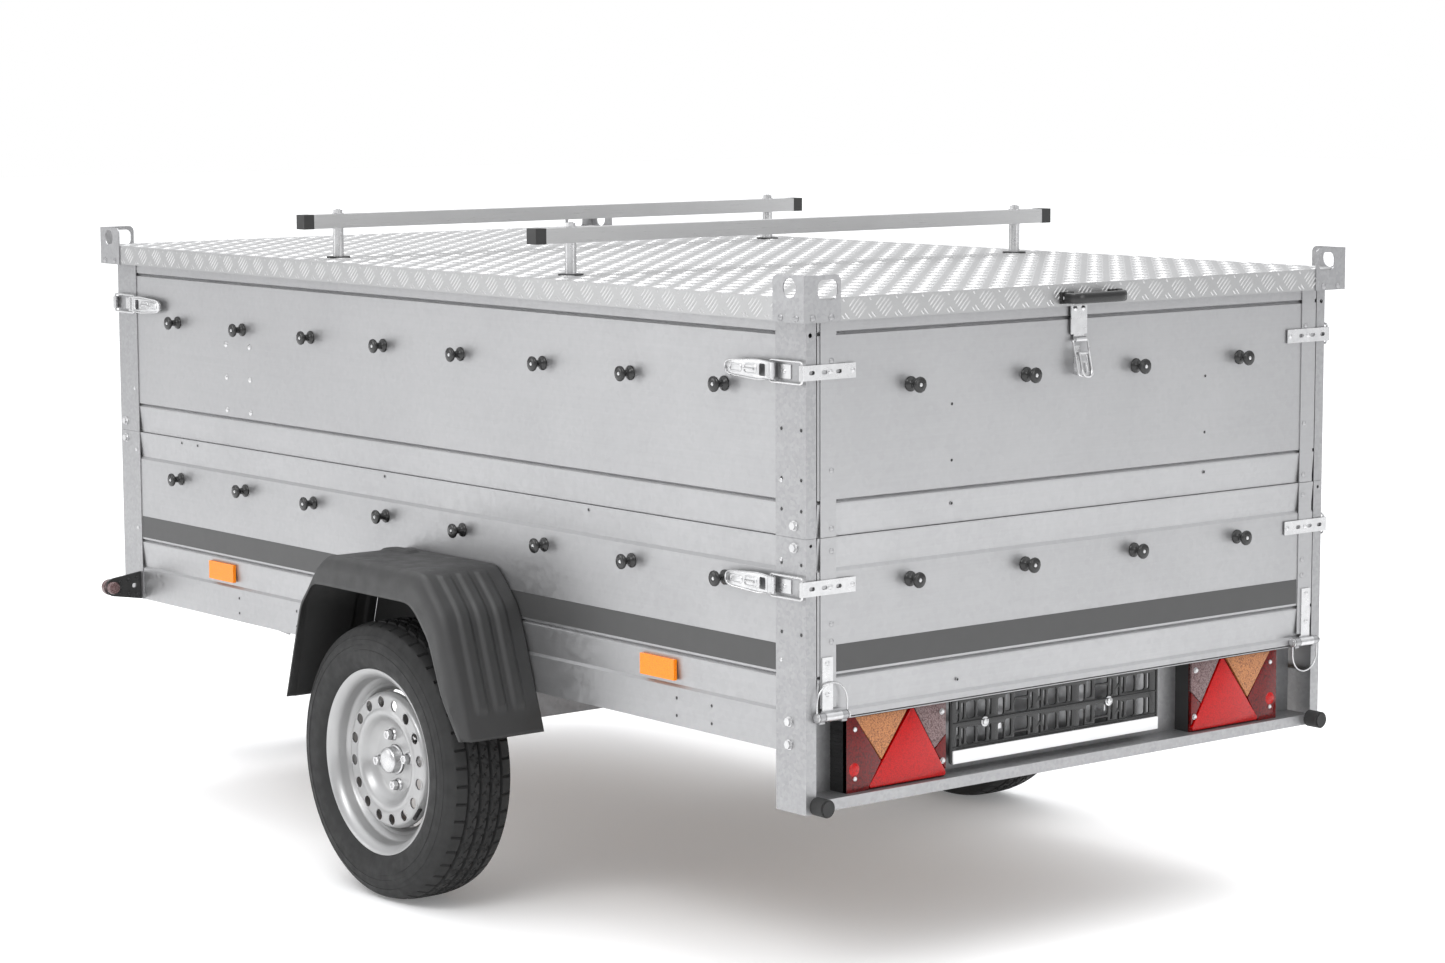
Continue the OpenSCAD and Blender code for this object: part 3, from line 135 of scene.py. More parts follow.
class Nodes:
    """A material's node tree with a Principled shader, and short calls to add to it."""

    def __init__(self, name, **sockets):
        self.material = bpy.data.materials.new(name)
        self.material.use_nodes = True
        self.tree = self.material.node_tree
        self.shader = self.tree.nodes["Principled BSDF"]
        for key, value in sockets.items():
            self.shader.inputs[key.replace("_", " ")].default_value = value
        self.place = self.add("ShaderNodeTexCoord").outputs["Object"]

    def add(self, kind, **settings):
        node = self.tree.nodes.new(kind)
        for key, value in settings.items():
            setattr(node, key, value)
        return node

    def put(self, socket, value):
        if isinstance(value, bpy.types.NodeSocket):
            self.tree.links.new(value, socket)
        else:
            socket.default_value = value

    def scaled(self, scale):
        node = self.add("ShaderNodeMapping")
        self.put(node.inputs["Vector"], self.place)
        node.inputs["Scale"].default_value = scale
        return node.outputs["Vector"]

    def noise(self, scale, detail=3.0, rough=0.55, stretch=None):
        node = self.add("ShaderNodeTexNoise")
        self.put(node.inputs["Vector"], self.scaled(stretch) if stretch else self.place)
        node.inputs["Scale"].default_value = scale
        node.inputs["Detail"].default_value = detail
        node.inputs["Roughness"].default_value = rough
        return node.outputs["Fac"]

    def cells(self, scale, stretch=None, output="Color", feature="F1"):
        node = self.add("ShaderNodeTexVoronoi", feature=feature)
        self.put(node.inputs["Vector"], self.scaled(stretch) if stretch else self.place)
        node.inputs["Scale"].default_value = scale
        return node.outputs[output]

    def remap(self, value, low, high, from_low=0.0, from_high=1.0):
        node = self.add("ShaderNodeMapRange")
        self.put(node.inputs["Value"], value)
        for key, number in (("From Min", from_low), ("From Max", from_high), ("To Min", low),
                ("To Max", high)):
            node.inputs[key].default_value = number
        return node.outputs["Result"]

    def math(self, kind, a, b):
        node = self.add("ShaderNodeMath", operation=kind)
        self.put(node.inputs[0], a)
        self.put(node.inputs[1], b)
        return node.outputs[0]

    def mix(self, factor, a, b, kind="MIX"):
        node = self.add("ShaderNodeMix", data_type="RGBA", blend_type=kind)
        self.put(node.inputs["Factor"], factor)
        self.put(node.inputs[6], a)
        self.put(node.inputs[7], b)
        return node.outputs[2]

    def colour(self, value):
        self.put(self.shader.inputs["Base Color"], value)
        return self

    def rough(self, value):
        self.put(self.shader.inputs["Roughness"], value)
        return self

    def bump(self, height, strength=0.2, distance=0.001):
        node = self.add("ShaderNodeBump")
        node.inputs["Strength"].default_value = strength
        node.inputs["Distance"].default_value = distance
        self.put(node.inputs["Height"], height)
        self.put(self.shader.inputs["Normal"], node.outputs["Normal"])
        return self


def grey(value, blue=0.0):
    return (value, value, value + blue, 1)


def floor_paint():
    n = Nodes("floor_paint", Roughness=0.9, Emission_Color=(1, 1, 1, 1), Emission_Strength=0.16)
    n.colour(n.mix(n.noise(1.5), grey(0.86), grey(0.9)))
    return n.material


def galvanised(name, dark, light, spangle=55, rough=(0.34, 0.52), metal=0.72, streak=0.25, crystal=0.1):
    """Hot-dip zinc: crystal facets, slow clouding and fine rolling streaks."""
    n = Nodes(name, Metallic=metal)
    facet = n.add("ShaderNodeSeparateColor")
    n.put(facet.inputs[0], n.cells(spangle))
    tone = n.math("MULTIPLY", facet.outputs[0], crystal)
    tone = n.math("ADD", tone, n.math("MULTIPLY", n.noise(2.6, 3), 0.75 - crystal))
    tone = n.math("ADD", tone, n.math("MULTIPLY", n.noise(3.0, 4, stretch=(1.2, 1.2, 90)), streak))
    n.colour(n.mix(n.remap(tone, 0, 1, 0.15, 0.95), grey(dark, 0.006), grey(light, 0.004)))
    n.rough(n.remap(n.math("ADD", facet.outputs[1], n.noise(40)), rough[0], rough[1], 0.3, 1.5))
    n.bump(n.math("ADD", n.noise(160, 4), n.math("MULTIPLY", facet.outputs[2], 0.5)), 0.09, 0.0006)
    return n.material


def zinc(name="bright_zinc", tone=0.66):
    """Bright plated steel with fine scratches and a few dull spots."""
    n = Nodes(name, Metallic=0.95)
    scratch = n.noise(14, 6, 0.7, stretch=(30, 1, 30))
    n.colour(n.mix(n.noise(70, 5), grey(tone * 0.72, 0.004), grey(tone, 0.002)))
    n.rough(n.remap(n.math("ADD", scratch, n.noise(55)), 0.2, 0.44, 0.6, 1.5))
    n.bump(scratch, 0.08, 0.0004)
    return n.material


def plastic(name, tone, rough=(0.38, 0.55), grain=900, strength=0.16):
    n = Nodes(name, Specular_IOR_Level=0.45)
    n.colour(n.mix(n.noise(9, 6), grey(tone * 0.8), grey(tone * 1.25)))
    n.rough(n.remap(n.noise(35, 5), rough[0], rough[1], 0.3, 0.7))
    n.bump(n.math("ADD", n.noise(grain, 2), n.cells(grain * 0.7, output="Distance")), strength, 0.0004)
    return n.material


def rubber(name, tone):
    n = Nodes(name, Specular_IOR_Level=0.3)
    n.colour(n.mix(n.noise(7, 7), grey(tone * 0.75), grey(tone * 1.5)))
    n.rough(n.remap(n.noise(45, 5), 0.55, 0.8, 0.3, 0.7))
    n.bump(n.noise(700, 3), 0.2, 0.0005)
    return n.material


def lens(name, dark, light, cell=170, rough=0.2, see=0.0):
    """Moulded lens: tiny prisms under a glossy skin."""
    n = Nodes(name, Roughness=rough, Specular_IOR_Level=0.35, Transmission_Weight=see)
    prism = n.cells(cell, output="Distance")
    n.colour(n.mix(n.remap(prism, 0, 1, 0, 0.9), light, dark))
    n.bump(prism, 0.3, 0.0006)
    return n.material


def aluminium(name, dark, light, rough=(0.26, 0.42), metal=0.8, stretch=(60, 1, 60)):
    n = Nodes(name, Metallic=metal)
    line = n.noise(12, 5, 0.65, stretch=stretch)
    n.colour(n.mix(n.math("ADD", n.math("MULTIPLY", line, 0.5), n.math("MULTIPLY", n.noise(8, 5), 0.5)),
            grey(dark), grey(light)))
    n.rough(n.remap(line, rough[0], rough[1], 0.3, 0.7))
    n.bump(line, 0.06, 0.0004)
    return n.material


def painted(name, tone, rough=(0.28, 0.42), metal=0.35):
    """Sprayed wheel or axle paint with orange peel and a mottled tone."""
    n = Nodes(name, Metallic=metal)
    n.colour(n.mix(n.noise(12, 6), grey(tone * 0.86), grey(tone)))
    n.rough(n.remap(n.noise(30, 4), rough[0], rough[1], 0.3, 0.7))
    n.bump(n.noise(420, 2), 0.1, 0.0005)
    return n.material


def board(name):
    n = Nodes(name)
    grain = n.noise(6, 8, 0.7, stretch=(2, 40, 40))
    n.colour(n.mix(grain, (0.1, 0.055, 0.03, 1), (0.3, 0.19, 0.11, 1)))
    n.rough(n.remap(grain, 0.45, 0.7)).bump(n.cells(260, output="Distance"), 0.3, 0.0006)
    return n.material


def vinyl(name, tone):
    n = Nodes(name, Specular_IOR_Level=0.4)
    n.colour(n.mix(n.noise(25, 5), grey(tone * 0.92), grey(tone * 1.08)))
    n.rough(n.remap(n.noise(60, 4), 0.3, 0.45)).bump(n.noise(300, 3), 0.05, 0.0003)
    return n.material


MAT = {
    "panel": galvanised("galvanised_panel", 0.34, 0.44, spangle=110, rough=(0.33, 0.46), metal=0.82,
        crystal=0.09),
    "post": galvanised("galvanised_post", 0.3, 0.43, spangle=170, rough=(0.32, 0.48), metal=0.8, streak=0.1,
        crystal=0.26),
    "dull": galvanised("galvanised_dull", 0.24, 0.36, spangle=140, rough=(0.42, 0.6), metal=0.75,
        streak=0.1),
    "zinc": zinc(),
    "dark_zinc": zinc("drawn_zinc", 0.5),
    "plastic": plastic("black_moulding", 0.022),
    "guard": plastic("mudguard_moulding", 0.03, rough=(0.42, 0.6), grain=1300, strength=0.12),
    "gloss": plastic("glossy_black", 0.016, rough=(0.16, 0.28), grain=500, strength=0.05),
    "rubber": rubber("buffer_rubber", 0.025),
    "tyre": rubber("tyre_rubber", 0.02),
    "checker": aluminium("checker_aluminium", 0.34, 0.44, rough=(0.3, 0.42), metal=0.85,
        stretch=(1, 30, 30)),
    # the raised bars are a lighter copy of the checker aluminium: painted highlight on the bars
    "tread": aluminium("raised_bar_aluminium_painted_highlight", 0.44, 0.54, rough=(0.3, 0.42), metal=0.8,
        stretch=(30, 30, 30)),
    "bar": aluminium("drawn_aluminium", 0.4, 0.54),
    "wheel": painted("silver_wheel_paint", 0.42, metal=0.6),
    "arm": painted("grey_arm_paint", 0.34),
    "black_paint": painted("black_tube_paint", 0.03, metal=0.0),
    "chrome": zinc("polished_rod", 0.85),
    "board": board("faced_board"),
    "red": lens("red_lens", (0.26, 0.0, 0.0, 1), (0.55, 0.0, 0.0, 1), cell=420),
    "dark_red": lens("dark_red_lens", (0.05, 0.0, 0.0, 1), (0.17, 0.0, 0.0, 1), cell=300),
    "amber": lens("amber_lens", (0.16, 0.06, 0.025, 1), (0.6, 0.24, 0.08, 1), cell=420),
    "orange": lens("orange_reflector", (0.8, 0.17, 0.0, 1), (1.0, 0.3, 0.0, 1), cell=420),
    "clear": lens("clear_lens", (0.08, 0.03, 0.03, 1), (0.34, 0.24, 0.24, 1), cell=380, see=0.3),
    "vinyl": vinyl("grey_vinyl", 0.055),
    "white": vinyl("white_vinyl", 0.82), }

CAD_LOOKS = {
    "panel": ["lower_side_panels", "upper_side_panels", "front_panels", "upper_rear_panel",
        "tailgate_panel"],
    "post": ["corner_posts", "corner_eyes", "lamp_beam"],
    "dull": ["cross_members", "drawbar_arm_left", "drawbar_arm_right", "axle_beam", "jockey_tube",
        "jockey_fork"],
    "zinc": ["body_fasteners", "fixed_fittings", "hinge_pins", "lid_fittings", "tailgate_fittings",
        "load_bar_posts", "jockey_crank", "hinge_rings_left", "hinge_rings_right"],
    "dark_zinc": ["jockey_inner_tube"],
    "board": ["floor_panel"],
    "arm": ["suspension_arm_left", "suspension_arm_right", "coupling_head"],
    "plastic": ["load_bar_pads", "coupling_handle", "lamp_housings"],
    "rubber": ["rubber_buffers", "jockey_wheel"],
    "checker": ["lid_plate"],
    "bar": ["load_bars", "lid_frame"],
    "black_paint": ["strut_cylinders"],
    "chrome": ["strut_rods"],
    "orange": ["side_reflectors"], }


def dress_frame():
    for look, nodes in CAD_LOOKS.items():
        for node in nodes:
            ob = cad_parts[node]
            for slot in ob.material_slots:
                slot.material = MAT[look]


# ---------- mesh helpers ----------


class Shape:
    """Vertices and faces gathered from several forms, then made into one piece."""

    def __init__(self):
        self.verts, self.faces = [], []

    def join(self, verts, faces, move=None):
        base = len(self.verts)
        self.verts += [tuple(move @ Vector(v)) if move else tuple(v) for v in verts]
        self.faces += [tuple(base + i for i in f) for f in faces]
        return self

    def box(self, low, high, move=None):
        (a, b, c), (d, e, f) = low, high
        verts = [(x, y, z) for x in (a, d) for y in (b, e) for z in (c, f)]
        faces = [(0, 1, 3, 2), (4, 6, 7, 5), (0, 4, 5, 1), (2, 3, 7, 6), (0, 2, 6, 4), (1, 5, 7, 3)]
        return self.join(verts, faces, move)

    def lathe(self, points, move=None, steps=48, closed=False):
        """points are (radius, height) turned about local Z."""
        verts, faces = [], []
        n = len(points)
        for i in range(steps):
            a = 2 * math.pi * i / steps
            verts += [(r * math.cos(a), r * math.sin(a), h) for r, h in points]
        for i in range(steps):
            j = (i + 1) % steps
            for k in range(n if closed else n - 1):
                m = (k + 1) % n
                faces.append((i * n + k, j * n + k, j * n + m, i * n + m))
        return self.join(verts, faces, move)

    def tube(self, path, radius, steps=10, closed=False):
        """A round wire along a path of points."""
        path = [Vector(p) for p in path]
        n = len(path)
        rings = []
        normal = None
        for i, p in enumerate(path):
            before = path[i - 1] if (i or closed) else p
            after = path[(i + 1) % n] if (i < n - 1 or closed) else p
            along = (after - before).normalized()
            if normal is None:
                normal = along.orthogonal().normalized()
            normal = (normal - along * normal.dot(along)).normalized()
            side = along.cross(normal)
            rings.append([p + (normal * math.cos(a) + side * math.sin(a)) * radius
                    for a in (2 * math.pi * k / steps for k in range(steps))])
        verts = [v for ring in rings for v in ring]
        faces = []
        for i in range(n if closed else n - 1):
            j = (i + 1) % n
            for k in range(steps):
                m = (k + 1) % steps
                faces.append((i * steps + k, i * steps + m, j * steps + m, j * steps + k))
        if not closed:
            faces.append(tuple(range(steps))[::-1])
            faces.append(tuple((n - 1) * steps + k for k in range(steps)))
        return self.join(verts, faces)

    def mirrored(self):
        other = Shape()
        other.verts = [(x, -y, z) for x, y, z in self.verts]
        other.faces = [tuple(reversed(f)) for f in self.faces]
        return other

    def make(self, name, look, body, slot=None, bevel=0.0, sharp=32, steps=2):
        mesh = bpy.data.meshes.new(name)
        mesh.from_pydata(self.verts, [], self.faces)
        bm = bmesh.new()
        bm.from_mesh(mesh)
        bmesh.ops.remove_doubles(bm, verts=bm.verts, dist=1e-6)
        bmesh.ops.recalc_face_normals(bm, faces=bm.faces)
        if bevel:
            edges = [e for e in bm.edges if e.is_manifold and e.calc_face_angle(0) > math.radians(sharp)]
            bmesh.ops.bevel(bm, geom=edges, offset=bevel, segments=steps, profile=0.6, affect="EDGES",
                    clamp_overlap=True)
        for f in bm.faces:
            f.smooth = True
        for e in bm.edges:
            e.smooth = not (e.is_manifold and e.calc_face_angle(0) > math.radians(sharp))
        bm.to_mesh(mesh)
        bm.free()
        ob = bpy.data.objects.new(name, mesh)
        bpy.context.scene.collection.objects.link(ob)
        mesh.materials.append(MAT[look])
        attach(ob, body)
        return ob


def facing(origin, direction):
    """Puts local +Z along a direction at an origin."""
    turn = Vector(direction).to_track_quat("Z", "Y").to_matrix().to_4x4()
    return Matrix.Translation(origin) @ turn


def cut_plate(name, outline, holes, thick, move, look, body, slot=None, bevel=0.0008, parts=None):
    """A flat plate with holes: outline and holes are lists of (u, v) points, filled and given thickness."""
    curve = bpy.data.curves.new(name + "_outline", "CURVE")
    curve.dimensions, curve.fill_mode = "2D", "BOTH"
    curve.extrude = thick / 2 - bevel
    curve.bevel_depth, curve.bevel_resolution = bevel, 1
    curve.offset = -bevel
    for points in [outline] + holes:
        spline = curve.splines.new("POLY")
        spline.points.add(len(points) - 1)
        for p, (u, v) in zip(spline.points, points):
            p.co = (u, v, 0, 1)
        spline.use_cyclic_u = True
    ob = bpy.data.objects.new(name + "_source", curve)
    bpy.context.scene.collection.objects.link(ob)
    shape = bpy.data.meshes.new_from_object(ob.evaluated_get(bpy.context.evaluated_depsgraph_get()))
    made = Shape()
    lift = Matrix.Translation((0, 0, thick / 2))
    made.join([tuple(v.co) for v in shape.vertices], [tuple(p.vertices) for p in shape.polygons],
            move @ lift)
    bpy.data.objects.remove(ob)
    if parts is not None:
        return made
    return made.make(name, look, body, slot)


def rounded(u0, v0, u1, v1, r, steps=4):
    """A rectangle with round corners as points."""
    points = []
    for cu, cv, start in ((u1 - r, v1 - r, 0), (u0 + r, v1 - r, 90), (u0 + r, v0 + r, 180),
            (u1 - r, v0 + r, 270)):
        for k in range(steps + 1):
            a = math.radians(start + 90 * k / steps)
            points.append((cu + r * math.cos(a), cv + r * math.sin(a)))
    return points


def soften(path, r):
    """Rounds the inner corners of a polyline; works in any number of dimensions."""
    out = [path[0]]
    for a, b, c in zip(path, path[1:], path[2:]):
        a, b, c = Vector(a), Vector(b), Vector(c)
        p = b + (a - b) * min(0.45, r / (a - b).length)
        q = b + (c - b) * min(0.45, r / (c - b).length)
        for t in (0, 0.25, 0.5, 0.75, 1):
            out.append(tuple(p * (1 - t) ** 2 + b * 2 * t * (1 - t) + q * t * t))
    return out + [path[-1]]


def both(shape, name, look, bodies, slot, **more):
    """Makes a left piece and its mirror image."""
    left = shape.make(name + "_left", look, bodies[0], slot, **more)
    right = shape.mirrored().make(name + "_right", look, bodies[1], slot, **more)
    return left, right


# ---------- lid ----------


def checker_bars():
    """Raised five-bar pattern on the lid's top and flanges."""
    pitch, gap, length, half, high = 0.06, 0.0072, 0.034, 0.0016, 0.0011
    shape = Shape()

    def bar(centre, along, side, out, size):
        c, a, s, o = Vector(centre), Vector(along), Vector(side), Vector(out)
        h = size / 2
        ring = [(h, 0), (h * 0.72, half), (0, half * 1.15), (-h * 0.72, half), (-h, 0), (-h * 0.72, -half),
                (0, -half * 1.15), (h * 0.72, -half)]
        verts = [c + a * u + s * v for u, v in ring]
        verts += [c + a * h * 0.62 + o * high, c + o * high, c - a * h * 0.62 + o * high]
        faces = [(0, 1, 8), (1, 2, 9, 8), (2, 3, 10, 9), (3, 4, 10), (4, 5, 10), (5, 6, 9, 10),
                (6, 7, 8, 9), (7, 0, 8)]
        shape.join(verts, faces)

    def field(origin, u_dir, v_dir, out, width, height, v_start):
        """Clusters over a rectangle; the first row's centre is v_start below the top edge."""
        u_dir, v_dir, out = Vector(u_dir), Vector(v_dir), Vector(out)
        margin = 0.0025
        rows = int(height / (pitch / 2)) + 3
        for j in range(-1, rows):
            v = v_start + j * pitch / 2
            for i in range(-1, int(width / pitch) + 2):
                u = i * pitch + (pitch / 2 if j % 2 else 0)
                slant = 45 if j % 2 else -45
                along = (math.cos(math.radians(slant)), math.sin(math.radians(slant)))
                for k in range(-2, 3):
                    size = length * (1.0 if abs(k) < 2 else 0.86)
                    cu, cv = u - along[1] * k * gap, v + along[0] * k * gap
                    low, high_t = -size / 2, size / 2
                    for p, d, top in ((cu, along[0], width), (cv, along[1], height)):
                        ends = sorted(((margin - p) / d, (top - margin - p) / d))
                        low, high_t = max(low, ends[0]), min(high_t, ends[1])
                    if high_t - low < 0.007:
                        continue
                    mid = (low + high_t) / 2
                    at = Vector(origin) + u_dir * (cu + along[0] * mid) + v_dir * (cv + along[1] * mid)
                    d3 = u_dir * along[0] + v_dir * along[1]
                    bar(at, d3, out.cross(d3), out, high_t - low)

    w, l = LID_HI.y - LID_LO.y, LID_HI.x - LID_LO.x
    drop = LID_HI.z - LID_LO.z
    field((LID_LO.x, LID_LO.y, LID_HI.z), (0, 1, 0), (1, 0, 0), (0, 0, 1), w, l, 0.03)
    field((LID_HI.x, LID_LO.y, LID_HI.z), (0, 1, 0), (0, 0, -1), (1, 0, 0), w, drop, 0.017)
    field((LID_LO.x, LID_HI.y, LID_HI.z), (0, -1, 0), (0, 0, -1), (-1, 0, 0), w, drop, 0.017)
    field((LID_LO.x, LID_LO.y, LID_HI.z), (1, 0, 0), (0, 0, -1), (0, -1, 0), l, drop, 0.017)
    field((LID_HI.x, LID_HI.y, LID_HI.z), (-1, 0, 0), (0, 0, -1), (0, 1, 0), l, drop, 0.017)
    # the bars use the lighter tread copy, a painted highlight on the checker plate
    shape.make("checker_bars", "tread", "lid", "checker_plate", sharp=60)


def lid_grip():
    """Moulded pull grip on the lid's rear flange."""
    low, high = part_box("lid_handle")
    y0, y1, x0, x1 = low.y, high.y, low.x, high.x
    zm = (low.z + high.z) / 2
    h = (high.z - low.z) / 2
    shape = Shape()
    rows = []
    path = soften([(x0 + 0.003, y0 + 0.01), (x1 - 0.006, y0 + 0.013), (x1 - 0.006, y1 - 0.013),
            (x0 + 0.003, y1 - 0.01)], 0.02)
    steps = 14
    for i, (x, y) in enumerate(path):
        a = Vector(path[max(i - 1, 0)])
        b = Vector(path[min(i + 1, len(path) - 1)])
        d = (b - a).normalized()
        side = Vector((-d.y, d.x))
        row = []
        for k in range(steps):
            t = 2 * math.pi * k / steps
            c, s = math.cos(t), math.sin(t)
            p = 0.55
            u = math.copysign(abs(c) ** p, c) * 0.0062
            v = math.copysign(abs(s) ** p, s) * h * 0.94
            row.append((x + side.x * u, y + side.y * u, zm + v))
        rows.append(row)
    verts = [v for row in rows for v in row]
    faces = []
    for i in range(len(rows) - 1):
        for k in range(steps):
            m = (k + 1) % steps
            faces.append((i * steps + k, i * steps + m, (i + 1) * steps + m, (i + 1) * steps + k))
    faces.append(tuple(range(steps)))
    faces.append(tuple((len(rows) - 1) * steps + k for k in range(steps))[::-1])
    shape.join(verts, faces)
    for y in (y0, y1 - 0.03):
        shape.box((x0, y, low.z), (x0 + 0.006, y + 0.03, high.z))
    grip = shape.make("lid_grip", "gloss", "lid", "black_plastic", sharp=50)
    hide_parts("lid_handle")
    screws = Shape()
    for y in (y0 + 0.008, y1 - 0.008):
        screws.lathe([(0, 0.003), (0.0022, 0.003), (0.0045, 0.0012), (0.0048, 0)],
                facing((x0 + 0.006, y, zm), (1, 0, 0)), 20)
    screws.make("grip_screws", "zinc", "lid", "zinc_plate")


# ---------- wheels ----------


def at_wheel():
    """Local Z points outboard on the left, z = 0 at the tyre's centre plane."""
    return Matrix.Translation(WHEEL) @ Matrix.Rotation(math.pi / 2, 4, "X")


def tyre_shape():
    half = (TYRE_HI.y - TYRE_LO.y) / 2
    crown = TYRE_R
    tread = half - 0.019
    steps = 432
    rows = []
    sidewall = [(RIM_R - 0.016, 0.0565), (RIM_R - 0.008, 0.06), (RIM_R + 0.001, 0.068),
            (RIM_R + 0.006, 0.0725),
            (RIM_R + 0.0095, 0.0735), (RIM_R + 0.011, 0.0745), (RIM_R + 0.018, 0.0762),
            (RIM_R + 0.027, 0.0773),
            (RIM_R + 0.036, half), (RIM_R + 0.0365, half - 0.0009), (RIM_R + 0.046, half - 0.0012),
            (RIM_R + 0.0465, half - 0.0003), (RIM_R + 0.056, half - 0.0025),
            (RIM_R + 0.0565, half - 0.0035),
            (RIM_R + 0.064, half - 0.0062), (RIM_R + 0.0645, half - 0.0055), (RIM_R + 0.071, half - 0.01),
            (crown - 0.0125, half - 0.013), (crown - 0.0085, half - 0.0165)]
    count = 46
    across = [tread - 2 * tread * i / count for i in range(count + 1)]
    grooves = (-0.037, -0.0125, 0.0125, 0.037)
    profile = [(r, w, 0) for r, w in sidewall]
    for w in across:
        t = w / tread
        r = crown - 0.0065 * abs(t) ** 3.2 - 0.0008 * t * t
        profile.append((r, w, 1))
    profile += [(r, -w, 0) for r, w in reversed(sidewall)]
    verts, faces = [], []
    n = len(profile)
    for i in range(steps):
        a = 2 * math.pi * i / steps
        for r, w, on_tread in profile:
            if on_tread:
                if any(abs(w - g) < 0.0026 for g in grooves):
                    r -= 0.007
                else:
                    lane = int((w + 0.0495) // 0.0247)
                    if abs(w) > 0.0395:
                        cut = (i + (2 if w > 0 else 0)) % 9 in (0,)
                        r -= 0.0045 if cut else 0
                    else:
                        skew = int(w / 0.0045)
                        cut = (i + skew + 3 * lane) % 9 == 0
                        fine = (i - skew + 3 * lane) % 9 == 5
                        r -= 0.005 if cut else 0.0025 if fine else 0
            verts.append((r * math.cos(a), r * math.sin(a), w))
    for i in range(steps):
        j = (i + 1) % steps
        for k in range(n - 1):
            faces.append((i * n + k, i * n + k + 1, j * n + k + 1, j * n + k))
    shape = Shape()
    shape.join(verts, faces, at_wheel())
    # inner lining closes the carcass
    lining = [(RIM_R - 0.016, 0.0565), (RIM_R + 0.002, 0.058), (RIM_R + 0.04, 0.066), (crown - 0.03, 0.055),
            (crown - 0.016, 0.03), (crown - 0.0145, 0), (crown - 0.016, -0.03), (crown - 0.03, -0.055),
            (RIM_R + 0.04, -0.066), (RIM_R + 0.002, -0.058), (RIM_R - 0.016, -0.0565)]
    shape.lathe(lining, at_wheel(), steps)
    return shape


def rim_shape():
    half = (RIM_HI.y - RIM_LO.y) / 2
    r = RIM_R
    outer = [(r - 0.0045, half - 0.0006), (r - 0.0015, half), (r, half - 0.002),
            (r - 0.0012, half - 0.0045),
            (r - 0.0075, half - 0.0065), (r - 0.013, half - 0.0115), (r - 0.0155, half - 0.019),
            (r - 0.018, half - 0.033), (r - 0.021, half - 0.036), (r - 0.04, 0.022), (r - 0.043, 0.017),
            (r - 0.0445, 0.01), (r - 0.0445, -0.006), (r - 0.041, -0.013), (r - 0.021, 0.036 - half),
            (r - 0.0175, 0.031 - half), (r - 0.0155, 0.019 - half), (r - 0.013, 0.0115 - half),
            (r - 0.0075, 0.0065 - half), (r - 0.0012, 0.0045 - half), (r, 0.002 - half),
            (r - 0.0015, -half)]
    inner = [(r - 0.0045, 0.0006 - half), (r - 0.012, 0.005 - half), (r - 0.0175, 0.011 - half),
            (r - 0.0195, 0.019 - half), (r - 0.0215, 0.031 - half), (r - 0.0245, 0.037 - half),
            (r - 0.045, -0.0145), (r - 0.0478, -0.0065), (r - 0.0478, 0.0115), (r - 0.046, 0.0185),
            (r - 0.0245, half - 0.037), (r - 0.0218, half - 0.031), (r - 0.0195, half - 0.019),
            (r - 0.0172, half - 0.011), (r - 0.011, half - 0.0045)]
    shape = Shape()
    shape.lathe(outer + inner, at_wheel(), 128, closed=True)
    return shape


DISC_TOP = [(0.03, 0.0232), (0.062, 0.0234), (0.0655, 0.0242), (0.069, 0.0262), (0.076, 0.0305),
        (0.081, 0.0362),
        (0.085, 0.0425), (0.089, 0.0462), (0.094, 0.0478), (0.0985, 0.0474), (0.101, 0.046),
        (0.1035, 0.0452), (0.123, 0.045), (0.1275, 0.044), (0.1305, 0.0405), (0.1325, 0.034),
        (0.1335, 0.025)]


def disc_shape():
    """Pressed wheel disc turned from its profile; the ring of vent holes is cut into it afterwards."""
    top = [(r, h) for r, h in DISC_TOP]
    under = [(r - (0.001 if r > 0.066 else 0), h - 0.0034) for r, h in reversed(DISC_TOP)]
    shape = Shape()
    shape.lathe(top + under, at_wheel(), 160, closed=True)
    return shape


